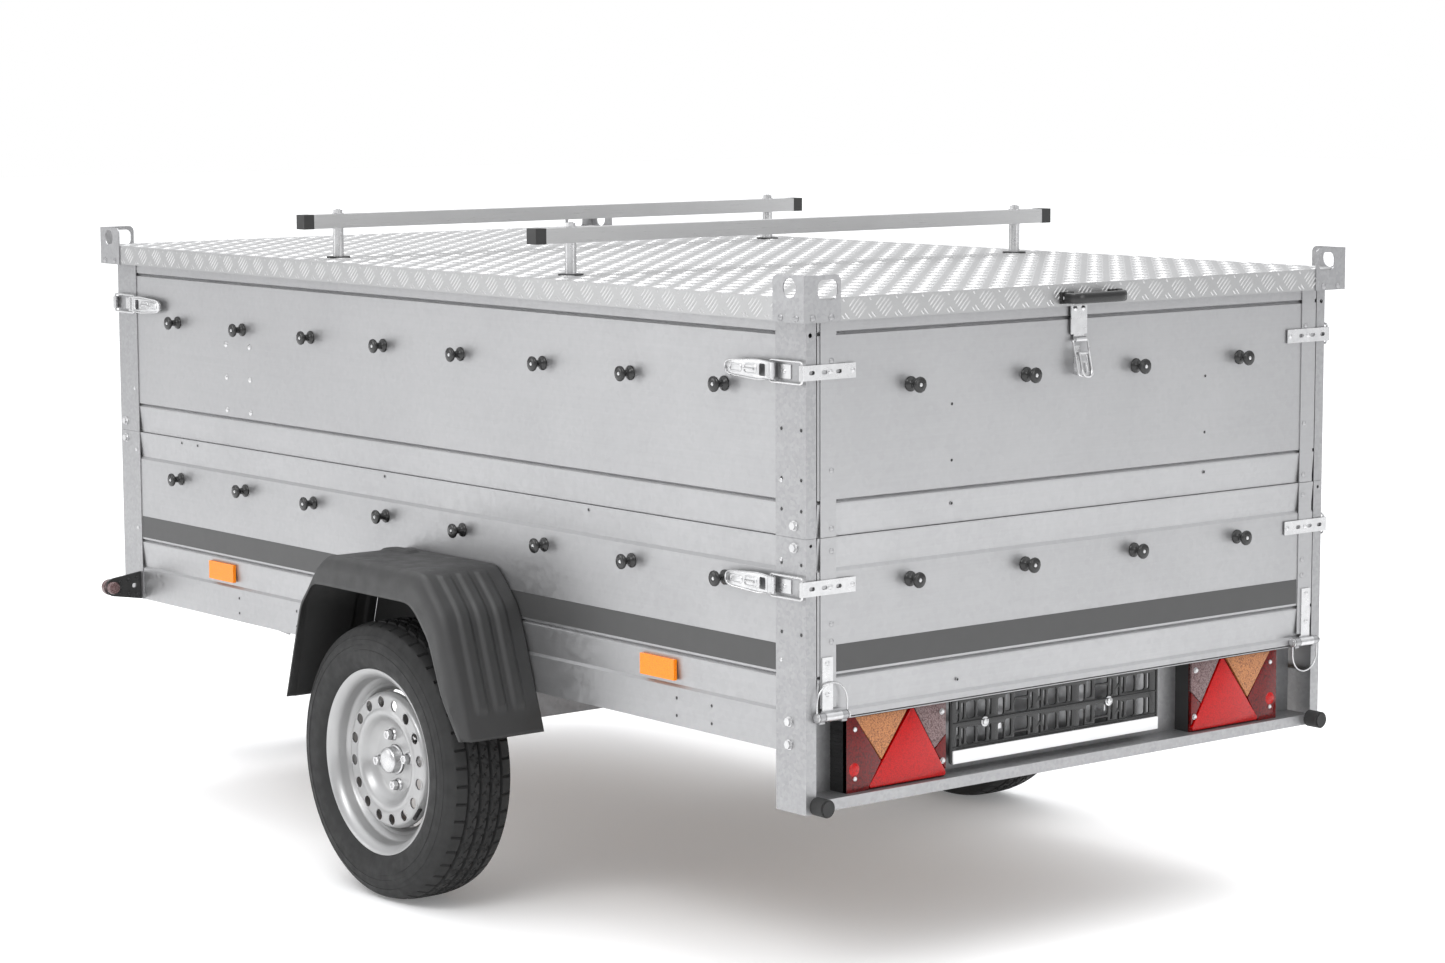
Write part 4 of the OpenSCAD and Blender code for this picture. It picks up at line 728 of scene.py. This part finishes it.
def wheel_pieces():
    tyre = tyre_shape()
    for side, ob in zip(("left", "right"), both(tyre, "tyre_tread", "tyre", WHEELS,
            "tyre_rubber", sharp=40)):
        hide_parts("tyre_" + side)
    rim = rim_shape()
    discs = both(disc_shape(), "wheel_disc", "wheel", WHEELS, "wheel_silver",
            sharp=40)
    for sign, disc in zip((1, -1), discs):
        cutter = Shape()
        for k in range(16):
            a = 2 * math.pi * (k + 0.35) / 16
            spot = at_wheel() @ Matrix.Translation((0.1145 * math.cos(a), 0.1145 * math.sin(a), 0.02))
            cutter.lathe([(0, 0), (0.0106, 0), (0.0106, 0.04), (0, 0.04)], spot, 24)
        if sign < 0:
            cutter = cutter.mirrored()
        holes = cutter.make("vent_cutter", "wheel", "chassis")
        cut = disc.modifiers.new("vents", "BOOLEAN")
        cut.operation, cut.solver, cut.object = "DIFFERENCE", "EXACT", holes
        dg = bpy.context.evaluated_depsgraph_get()
        done = bpy.data.meshes.new_from_object(disc.evaluated_get(dg))
        disc.modifiers.clear()
        disc.data = done
        bpy.data.objects.remove(holes)
    for side, ob, disc in zip(("left", "right"), both(rim, "rim_barrel", "wheel",
            WHEELS, "wheel_silver", sharp=50), discs):
        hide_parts("rim_" + side)
    lips = Shape()
    for k in range(16):
        a = 2 * math.pi * (k + 0.35) / 16
        spot = at_wheel() @ Matrix.Translation((0.1145 * math.cos(a), 0.1145 * math.sin(a), 0.0449))
        lips.lathe([(0.0106, -0.003), (0.0106, 0.0002), (0.0112, 0.0007), (0.0124, 0.0004), (0.0131, 0)],
                spot, 24)
    both(lips, "vent_lips", "wheel", WHEELS, "wheel_silver", sharp=60)
    hub = Shape()
    hub.lathe([(0.0151, -0.052), (0.03, -0.052), (0.032, -0.05), (0.032, 0.006), (0.036, 0.008),
            (0.06, 0.008),
            (0.062, 0.01), (0.062, 0.0198), (0.0285, 0.0198), (0.0285, 0.0262), (0.026, 0.0275),
            (0.0255, 0.041),
            (0.0248, 0.0432), (0.0225, 0.0452), (0.017, 0.0468), (0.009, 0.0477), (0, 0.048)],
            at_wheel(), 64)
    for k in range(4):
        a = math.radians(10 + 90 * k)
        spot = at_wheel() @ Matrix.Translation((0.049 * math.cos(a), 0.049 * math.sin(a), 0.0232))
        hub.lathe([(0.0125, 0), (0.0125, 0.0018), (0.0105, 0.0045), (0.0105, 0.006)], spot, 24)
        hub.lathe([(0.0098, 0.006), (0.01, 0.0145), (0.0088, 0.0162), (0.0055, 0.0162), (0.0045, 0.0142),
                (0, 0.0142)], spot, 6)
    for side, ob in zip(("left", "right"), both(hub, "hub_and_bolts", "zinc", WHEELS,
            "zinc_plate", sharp=35)):
        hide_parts("hub_" + side)
    valve = Shape()
    a = math.radians(-38)
    foot = Vector((0.128 * math.cos(a), 0.128 * math.sin(a), 0.034))
    tip = Vector((0.15 * math.cos(a), 0.15 * math.sin(a), 0.06))
    path = [at_wheel() @ (foot.lerp(tip, t)) for t in (0, 0.3, 0.6, 1)]
    valve.tube(path, 0.0042, 12)
    both(valve, "valve_stem", "rubber", WHEELS, "tyre_rubber")


# ---------- mudguards ----------


def mudguard_shape():
    """Moulded guard: rounded top shell, chamfer, skirt with arch, ribs on its rear slope."""
    keys = [((-0.292, 0.091), (-0.284, 0.091)), ((-0.236, 0.291), (-0.226, 0.28)),
            ((-0.145, 0.39), (-0.184, 0.329)),
            ((-0.12, 0.394), (-0.15, 0.331)), ((0.17, 0.394), (0.15, 0.331)),
            ((0.195, 0.386), (0.176, 0.316)),
            ((0.257, 0.322), (0.219, 0.268)), ((0.304, 0.183), (0.262, 0.163)),
            ((0.335, 0.091), (0.316, 0.091))]
    joined = soften([a + b for a, b in keys], 0.03)
    fine = []
    for a, b in zip(joined, joined[1:]):
        a, b = Vector(a), Vector(b)
        steps = max(1, int((b - a).length / 0.008))
        fine += [a.lerp(b, k / steps) for k in range(steps)]
    fine.append(Vector(joined[-1]))
    wide = 0.185
    across = [0.001 + (wide - 0.021) * k / 52 for k in range(53)]
    verts, rows = [], 0
    normals = []
    for i, p in enumerate(fine):
        a, b = fine[max(i - 1, 0)], fine[min(i + 1, len(fine) - 1)]
        d = Vector((b[0] - a[0], b[1] - a[1])).normalized()
        normals.append(Vector((-d.y, d.x)))
    for p, n in zip(fine, normals):
        gx, gz, ax, az = p
        row = []
        for d in across:
            lift = 0.0
            if gx > 0.196 and 0.135 < gz:
                for rib in (0.046, 0.088, 0.13):
                    u = abs(d - rib) / 0.0145
                    v = min(1, (gz - 0.135) / 0.012)
                    if u < 1:
                        lift = max(lift, 0.0052 * min(1, (1 - u) * 2.6) * v)
            if gx < -0.05 and 0.02 < d < 0.052:
                lift = 0.004 * min(1, (d - 0.02) / 0.004, (0.052 - d) / 0.004)
            row.append((gx + n.x * (lift - 0.004), d, gz + n.y * (lift - 0.004)))
        inward = Vector((ax - gx, az - gz))
        deep = inward.length
        inward = inward / deep
        for t, out in ((0.006, wide - 0.012), (0.014, wide - 0.006), (0.026, wide - 0.002),
                (0.034, wide - 0.0015)):
            t = min(t, deep * 0.7)
            row.append((gx + inward.x * t, out, gz + inward.y * t))
        for k in range(1, 6):
            t = min(0.034, deep * 0.7) + (deep - min(0.034, deep * 0.7)) * k / 5
            row.append((gx + inward.x * t, wide - 0.0015, gz + inward.y * t))
        verts += [(WHEEL.x + x, LY - y, WHEEL.z + z) for x, y, z in row]
        rows += 1
    n = len(verts) // rows
    faces = [(i * n + k, i * n + k + 1, (i + 1) * n + k + 1, (i + 1) * n + k) for i in range(rows - 1)
            for k in range(n - 1)]
    shape = Shape()
    shape.join(verts, faces)
    return shape


def mudguards():
    shape = mudguard_shape()
    for side, sign in (("left", 1), ("right", -1)):
        ob = (shape if sign > 0 else shape.mirrored()).make("mudguard_shell_" + side, "guard", "chassis",
                "black_plastic", sharp=60)
        thick = ob.modifiers.new("wall", "SOLIDIFY")
        thick.thickness, thick.offset = 0.0028, 0
        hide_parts("mudguard_" + side)
    wall = Shape()
    line = [(-0.262, 0.166), (-0.226, 0.288), (-0.139, 0.384), (-0.118, 0.3885), (0.168, 0.3885),
            (0.191, 0.381), (0.251, 0.319), (0.302, 0.18), (0.304, 0.166)]
    for y in (0.0012, 0.0032):
        wall.join([(WHEEL.x + x, LY - y, WHEEL.z + z) for x, z in line], [tuple(range(len(line)))])
    n = len(line)
    wall.faces += [(i, (i + 1) % n, n + (i + 1) % n, n + i) for i in range(n)]
    both(wall, "guard_wall", "guard", CHASSIS, "black_plastic")
    studs = Shape()
    for x in (-0.09, 0.14):
        studs.lathe([(0.006, 0), (0.006, 0.006)], facing((WHEEL.x + x, LY + 0.002, WHEEL.z + 0.356),
                (0, -1, 0)), 16)
        studs.lathe([(0, 0.0095), (0.008, 0.0095), (0.012, 0.0075), (0.012, 0.006)],
                facing((WHEEL.x + x, LY + 0.002, WHEEL.z + 0.356), (0, -1, 0)), 24)
    both(studs, "guard_studs", "zinc", CHASSIS, "zinc_plate")


# ---------- rear lights ----------


def lamp_lens_pieces():
    low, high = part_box("lamp_lenses")
    y0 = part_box("lamp_housings")[0].y
    width = 0.234
    z1, z0 = high.z, low.z
    x0, x1 = low.x, high.x
    tall = z1 - z0

    def spot(u, v):
        return (y0 + width * u, z1 - tall * v)

    zones = [
        ("amber", "amber_lens", 0.0095, [(0.085, 0.012), (0.6, 0.012), (0.345, 0.62)]),
        ("red", "red_lens", 0.01, [(0.635, 0.012), (0.665, 0.012), (0.992, 0.93), (0.985, 0.975),
            (0.235, 0.975), (0.225, 0.94)]),
        ("dark_red", "red_lens", 0.0093, [(0.0, 0.0), (0.08, 0.0), (0.34, 0.64), (0.222, 0.96),
            (0.215, 1.0), (0.0, 1.0)]),
        ("clear", "red_lens", 0.0078, [(0.675, 0.0), (1.0, 0.0), (1.0, 0.42), (0.885, 0.6)]),
        ("dark_red", "red_lens", 0.008, [(0.888, 0.612), (1.0, 0.43), (1.0, 0.9)]), ]
    for k, (look, slot, thick, points) in enumerate(zones):
        shape = Shape()
        front = [(x0 + thick, *spot(u, v)) for u, v in points]
        back = [(x0, *spot(u, v)) for u, v in points]
        n = len(points)
        faces = [tuple(range(n)), tuple(range(2 * n - 1, n - 1, -1))]
        faces += [(i, (i + 1) % n, n + (i + 1) % n, n + i) for i in range(n)]
        shape.join(front + back, faces)
        both(shape, "lens_%d" % k, look, CHASSIS, slot, bevel=0.0008, sharp=40)
    base = Shape()
    base.box((x0 - 0.001, y0, z0), (x0 + 0.004, y0 + width, z1))
    plates = both(base, "lens_base", "dark_red", CHASSIS, "red_lens", bevel=0.001)
    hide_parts("lamp_lenses")
    spots = Shape()
    spots.lathe([(0, 0.0104), (0.01, 0.0102), (0.0125, 0.009), (0.0128, 0.006)],
            facing((x0, *spot(0.075, 0.7)), (1, 0, 0)), 28)
    both(spots, "lens_spot", "red", CHASSIS, "red_lens")
    screws = Shape()
    for u, v in ((0.08, 0.17), (0.08, 0.82), (0.955, 0.12), (0.965, 0.78)):
        screws.lathe([(0, 0.0125), (0.0025, 0.0125), (0.0042, 0.0112), (0.0045, 0.009), (0.0055, 0.0088),
                (0.0055, 0.007)], facing((x0, *spot(u, v)), (1, 0, 0)), 20)
    both(screws, "lamp_screws", "zinc", CHASSIS, "zinc_plate")
    ribs = Shape()
    for k in range(19):
        v = 0.05 + 0.05 * k
        ribs.box((x0 - 0.034, y0 - 0.0006, z1 - tall * v - 0.0008), (x0 - 0.004, y0 + 0.0008,
                z1 - tall * v + 0.0008))
    both(ribs, "housing_ribs", "plastic", CHASSIS, "black_plastic")


def plate_lattice():
    low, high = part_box("plate_holder")
    w, h = high.y - low.y, high.z - low.z
    holes = []
    rows = ((0.255, 0.565), (0.645, 0.955))

    def hole(u, width, row, low_part=0.0, high_part=1.0, r=0.003):
        v0, v1 = rows[row]
        a, b = h * (v0 + (v1 - v0) * low_part), h * (v0 + (v1 - v0) * high_part)
        holes.append(rounded(u, a, u + width, b, min(r, width * 0.45, (b - a) * 0.45)))

    for start in (0.016, w / 2 - 0.046, w - 0.108):
        for row in (0, 1):
            hole(start, 0.006, row, 0.0, 0.42)
            hole(start, 0.006, row, 0.58, 1.0)
            hole(start + 0.012, 0.006, row, 0.1, 0.9)
            hole(start + 0.024, 0.022, row, 0.08, 0.92, 0.005)
            hole(start + 0.051, 0.022, row, 0.08, 0.92, 0.005)
            hole(start + 0.079, 0.006, row, 0.1, 0.9)
    for start in (0.118, w - 0.206):
        for row in (0, 1):
            hole(start, 0.014, row, 0.0, 0.85, 0.004)
            hole(start + 0.018, 0.014, row, 0.15, 1.0, 0.004)
            hole(start + 0.04, 0.034, row, 0.0 if row else 0.36, 0.64 if row else 1.0, 0.004)
            hole(start + 0.04, 0.034, row, 0.76 if row else 0.0, 1.0 if row else 0.24, 0.002)
            hole(start + 0.08, 0.006, row, 0.1, 0.9)
    turn = Matrix(((0, 0, 1, 0), (1, 0, 0, 0), (0, 1, 0, 0), (0, 0, 0, 1)))
    move = Matrix.Translation((high.x - 0.01, low.y, low.z)) @ turn
    plate = cut_plate("plate_lattice", rounded(0, 0, w, h, 0.006), holes, 0.004, move, "gloss", "chassis",
            "black_plastic")
    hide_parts("plate_holder")
    rim = Shape()
    inner = rounded(0.004, 0.003, w - 0.004, h - 0.003, 0.005)
    rim.tube([move @ Vector((u, v, 0.004)) for u, v in inner], 0.0022, 8, closed=True)
    for v in (0.62, 0.255):
        rim.tube([move @ Vector((0.006, h * v, 0.0045)), move @ Vector((w - 0.006, h * v, 0.0045))], 0.0013,
                8)
    rim.make("lattice_rim", "gloss", "chassis", "black_plastic")
    strip = Shape()
    strip.box((high.x - 0.006, low.y + 0.004, low.z + 0.001), (high.x - 0.001, high.y - 0.004,
            low.z + 0.0245))
    strip.make("blank_strip", "white", "chassis", "black_plastic", bevel=0.0012)
    screws = Shape()
    for y in (0.085, w - 0.13):
        screws.lathe([(0, 0.005), (0.003, 0.005), (0.0058, 0.0035), (0.0062, 0.0012), (0.009, 0.001),
                (0.009, 0)], facing((high.x - 0.006, low.y + y, low.z + h * 0.58), (1, 0, 0)), 24)
    for y in (0.128, w - 0.128):
        screws.box((high.x - 0.034, low.y + y - 0.01, low.z + 0.05), (high.x - 0.01, low.y + y + 0.01,
                low.z + 0.07))
    screws.make("holder_screws", "zinc", "chassis", "zinc_plate")


# ---------- small pieces ----------

KNOB = [(0, 0.0262), (0.0042, 0.0262), (0.0048, 0.0275), (0.0118, 0.0275), (0.0138, 0.0262),
        (0.0142, 0.024),
        (0.0134, 0.0218), (0.0095, 0.02), (0.0072, 0.0175), (0.0064, 0.013), (0.0066, 0.0085),
        (0.0085, 0.0055), (0.012, 0.0038), (0.0135, 0.002), (0.0135, 0)]


def knob_places():
    """Foot and direction of every spool knob, read from the frame's knob nodes."""
    flo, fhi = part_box("fixed_knobs")
    tlo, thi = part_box("tailgate_knobs")
    high_z, low_z = fhi.z - 0.014, flo.z + 0.014
    side_x1, side_x0 = RX - 0.221, RX - 0.221 - 0.269 * 7
    rows = []
    for k in range(8):
        x = side_x1 + (side_x0 - side_x1) * k / 7
        for z in (high_z, low_z):
            rows.append(("chassis", (x, LY + SKIN, z), (0, -1, 0)))
            rows.append(("chassis", (x, -LY - SKIN, z), (0, 1, 0)))
    y0, y1 = tlo.y + 0.014, thi.y - 0.014
    for k in range(4):
        y = y0 + (y1 - y0) * k / 3
        rows.append(("chassis", (RX, y, high_z), (1, 0, 0)))
        rows.append(("tailgate", (RX, y, low_z), (1, 0, 0)))
        for z in (high_z, low_z):
            rows.append(("chassis", (FX + SKIN, y, z), (-1, 0, 0)))
    return rows


def knobs():
    for body, node in (("chassis", "fixed_knobs"), ("tailgate", "tailgate_knobs")):
        spools, screws = Shape(), Shape()
        for owner, foot, out in knob_places():
            if owner != body:
                continue
            spools.lathe(KNOB, facing(foot, out), 32)
            at = Vector(foot) + Vector(out) * 0.0258
            screws.lathe([(0, 0.003), (0.0018, 0.003), (0.0034, 0.002), (0.0038, 0.0004), (0.0038, 0)],
                    facing(at, out), 18)
        ob = spools.make(node.replace("knobs", "spools"), "gloss", body, "black_plastic", sharp=50)
        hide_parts(node)
        screws.make(node.replace("knobs", "knob_screws"), "zinc", body, "zinc_plate")


def bands():
    """Plain grey vinyl bands on the lower tier, with no lettering."""
    z1, z0 = SEAM - 0.187, SEAM - 0.234
    thin = 0.0005
    side = Shape()
    side.box((FX + 0.082, LY + SKIN - thin, z0), (RX - 0.082, LY + SKIN + 0.0002, z1))
    both(side, "side_band", "vinyl", CHASSIS, "black_plastic")
    rear = Shape()
    rear.box((RX - 0.0002, LY + 0.068, z0), (RX + thin, -LY - 0.068, z1))
    rear.make("rear_band", "vinyl", "tailgate", "black_plastic")


def panel_holes():
    """Small punched holes in the panels and posts, drawn as countersunk rings around glossy black discs of
    painted shade.
    """
    def ring_at(shape, dark, at, out, r):
        move = facing(at, out)
        shape.lathe([(r, 0.0001), (r * 1.15, 0.0004), (r * 1.35, 0.0001)], move, 20)
        # a flat glossy black disc in each hole is painted shade standing in for the hole's depth
        dark.lathe([(0, 0.00015), (r, 0.00015)], move, 20)

    for body, spots in (
            ("chassis", [((RX, LY + y, SEAM + z), (1, 0, 0), 0.0026)
            for y, zs in ((0.334, (0.21, 0.111, 0.035)), (0.973, (0.221, 0.116, 0.041))) for z in zs]
            + [((x, LY + SKIN, z), (0, -1, 0), 0.0026) for x in (RX - 2.099, RX - 2.032, RX - 1.3,
            RX - 0.62)
            for z in (SEAM - 0.01,)]
            + [((x, LY, z), (0, -1, 0), 0.0032) for x in (RX - 0.012, RX - 0.064)
            for z in (SEAM + 0.047, SEAM - 0.045, SEAM + 0.185, SEAM + 0.1, SEAM - 0.165)]
            + [((x, LY + SKIN, RAIL + z), (0, -1, 0), 0.0028) for x in (FX + 0.49, FX + 0.72, RX - 0.36,
            RX - 0.26)
            for z in (0.018, 0.05)]),
            ("tailgate", [((RX, LY + 0.35, SEAM - 0.28), (1, 0, 0), 0.0024)])):
        lips, painted_hole_shade = Shape(), Shape()
        for at, out, r in spots:
            ring_at(lips, painted_hole_shade, at, out, r)
        lips.make("hole_lips_" + body, "post", body, "galvanised_steel")
        painted_hole_shade.make("hole_painted_shade_" + body, "gloss", body, "galvanised_steel")


def latch_shape():
    """Latch in local space: pivot at the origin, lying along +X, +Z away from the box."""
    frame_l, half, wire = 0.084, 0.019, 0.0022
    shape = Shape()
    loop = soften([(0, 0, 0), (0, half, 0), (frame_l, half, 0), (frame_l, -half, 0), (0, -half, 0),
            (0, -0.0005, 0)], 0.006)
    shape.tube(loop, wire, 10)
    shape.tube([(frame_l, -0.0145, 0), (frame_l, 0.0145, 0)], 0.0055, 14)
    shape.tube([(frame_l - 0.012, -0.0145, 0.0035), (frame_l - 0.012, 0.0145, 0.0035)], 0.0032, 12)
    tip = frame_l + 0.118
    outline = soften([(frame_l - 0.012, -0.0145), (frame_l + 0.03, -0.0172), (tip - 0.014, -0.013),
            (tip, -0.008), (tip, 0.008), (tip - 0.014, 0.013), (frame_l + 0.03, 0.0172),
            (frame_l - 0.012, 0.0145)], 0.008)
    hole = rounded(frame_l + 0.01, -0.0105, frame_l + 0.026, 0.0105, 0.003)
    lever = cut_plate("lever", outline, [hole], 0.0018, Matrix.Translation((0, 0, 0.0015)), "zinc",
            "chassis", bevel=0.0004, parts=True)
    shape.join(lever.verts, lever.faces)
    rim = [(u, v, 0.0042) for u, v in outline]
    shape.tube(rim, 0.0016, 8, closed=True)
    wall = [(u, v) for u, v in outline]
    n = len(wall)
    shape.join([(u, v, z) for u, v in wall for z in (0.0005, 0.0045)],
            [(2 * i, 2 * ((i + 1) % n), 2 * ((i + 1) % n) + 1, 2 * i + 1) for i in range(n)])
    for u0, u1, v in ((0.034, 0.066, 0.0078), (0.074, 0.104, 0.006)):
        ring = rounded(frame_l + u0, -v, frame_l + u1, v, v * 0.8)
        shape.tube([(u, w, 0.0036) for u, w in ring], 0.0014, 8, closed=True)
    shape.tube([(frame_l + 0.04, 0, 0.004), (frame_l + 0.066, 0, 0.004)], 0.0022, 8)
    return shape


def placed(shape, move):
    out = Shape()
    out.join(shape.verts, shape.faces, move)
    return out


def latches():
    source = latch_shape()
    for name in ("rear_upper_left", "rear_upper_right", "tailgate_left", "tailgate_right", "front_left",
            "front_right"):
        node = "latch_" + name
        low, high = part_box(node)
        z = (low.z + high.z) / 2
        front = name.startswith("front")
        right = name.endswith("right")
        x = FX + 0.0005 if front else RX - 0.0005
        y = (LY - 0.008) * (-1 if right else 1)
        along = Vector((1 if front else -1, 0, 0))
        out = Vector((0, 1 if right else -1, 0))
        side = out.cross(along)
        turn = Matrix((along, side, out)).transposed().to_4x4()
        ob = placed(source, Matrix.Translation((x, y, z)) @ turn).make("over_centre_" + name, "zinc", node,
                "zinc_plate", sharp=40)
        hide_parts(node)


def lid_latch():
    low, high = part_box("lid_latch")
    pivot = Vector((RX + 0.009, LY + 0.637, SEAM + 0.308))
    lean = math.radians(14)
    down = Vector((math.sin(lean), 0, -math.cos(lean)))
    side = Vector((0, 1, 0))
    out = down.cross(side) * -1
    if out.x < 0:
        out = -out
    turn = Matrix((down, side, out)).transposed().to_4x4()
    length, half = 0.066, 0.018
    shape = Shape()
    shape.tube(soften([(0, 0, 0), (0, half, 0), (length, half, 0), (length, -half, 0), (0, -half, 0),
            (0, -0.0005, 0)], 0.006), 0.0022, 10)
    lever = cut_plate("lid_lever", soften([(0.024, -0.012), (0.06, -0.012), (0.07, -0.007), (0.07, 0.007),
            (0.06, 0.012), (0.024, 0.012)], 0.005), [rounded(0.03, -0.006, 0.04, 0.006, 0.002)], 0.0018,
            Matrix.Translation((0, 0, 0.001)), "zinc", "lid_latch", bevel=0.0004, parts=True)
    shape.join(lever.verts, lever.faces)
    rim = soften([(0.024, -0.012, 0.005), (0.06, -0.012, 0.005), (0.07, -0.007, 0.005),
            (0.07, 0.007, 0.005), (0.06, 0.012, 0.005), (0.024, 0.012, 0.005)], 0.005)
    shape.tube(rim, 0.0018, 8)
    shape.tube([(0.044, 0, 0.004), (0.062, 0, 0.004)], 0.0035, 10)
    shape.tube([(0.026, -0.014, 0.002), (0.026, 0.014, 0.002)], 0.003, 10)
    ob = placed(shape, Matrix.Translation(pivot) @ turn).make("lid_toggle", "zinc", "lid_latch",
            "zinc_plate", sharp=40)
    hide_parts("lid_latch")


def marker_pieces():
    """Black outrigger arms with clear marker lenses near the front corners."""
    low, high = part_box("marker_lamps")
    zb = RAIL
    outline = soften([(0, 0.0), (0.074, 0.012), (0.084, 0.02), (0.084, 0.044), (0.074, 0.051), (0, 0.061)],
            0.006)
    turn = Matrix(((0, 0, 1, 0), (-1, 0, 0, 0), (0, 1, 0, 0), (0, 0, 0, 1)))
    x = FX + 0.066
    plate = cut_plate("marker_arm", outline, [rounded(0.012, 0.026, 0.022, 0.036, 0.003)], 0.006,
            Matrix.Translation((x, LY, zb)) @ turn, "plastic", "chassis", "black_plastic", parts=True)
    for v in (0.012, 0.049):
        for k in range(3):
            lean = 0.004 if v < 0.03 else -0.004
            spot = Matrix.Translation((x, LY, zb)) @ turn
            spot = spot @ Matrix.Translation((0.01 + 0.022 * k, v + lean * k, 0.006))
            plate.lathe([(0, 0.003), (0.0028, 0.003), (0.0042, 0.001), (0.0042, 0)], spot, 16)
    arms = both(plate, "marker_arm", "plastic", CHASSIS, "black_plastic", sharp=40)
    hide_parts("marker_lamps")
    glass = Shape()
    at = (FX + 0.052, LY - 0.072, zb + 0.031)
    glass.lathe([(0.0175, 0.0), (0.0178, 0.01), (0.0165, 0.0145), (0.012, 0.0172), (0.006, 0.0186),
            (0, 0.019)],
            facing((at[0] + 0.014, at[1], at[2]), (-1, 0, 0)), 32)
    glass.lathe([(0.0135, 0.0), (0.0138, 0.008), (0.0125, 0.0112), (0.007, 0.0132), (0, 0.0138)],
            facing((FX + 0.072, at[1], at[2]), (1, 0, 0)), 32)
    both(glass, "marker_glass", "clear", CHASSIS, "amber_lens")


camera()
studio()
dress_frame()
checker_bars()
lid_grip()
wheel_pieces()
mudguards()
lamp_lens_pieces()
plate_lattice()
knobs()
bands()
panel_holes()
latches()
lid_latch()
marker_pieces()
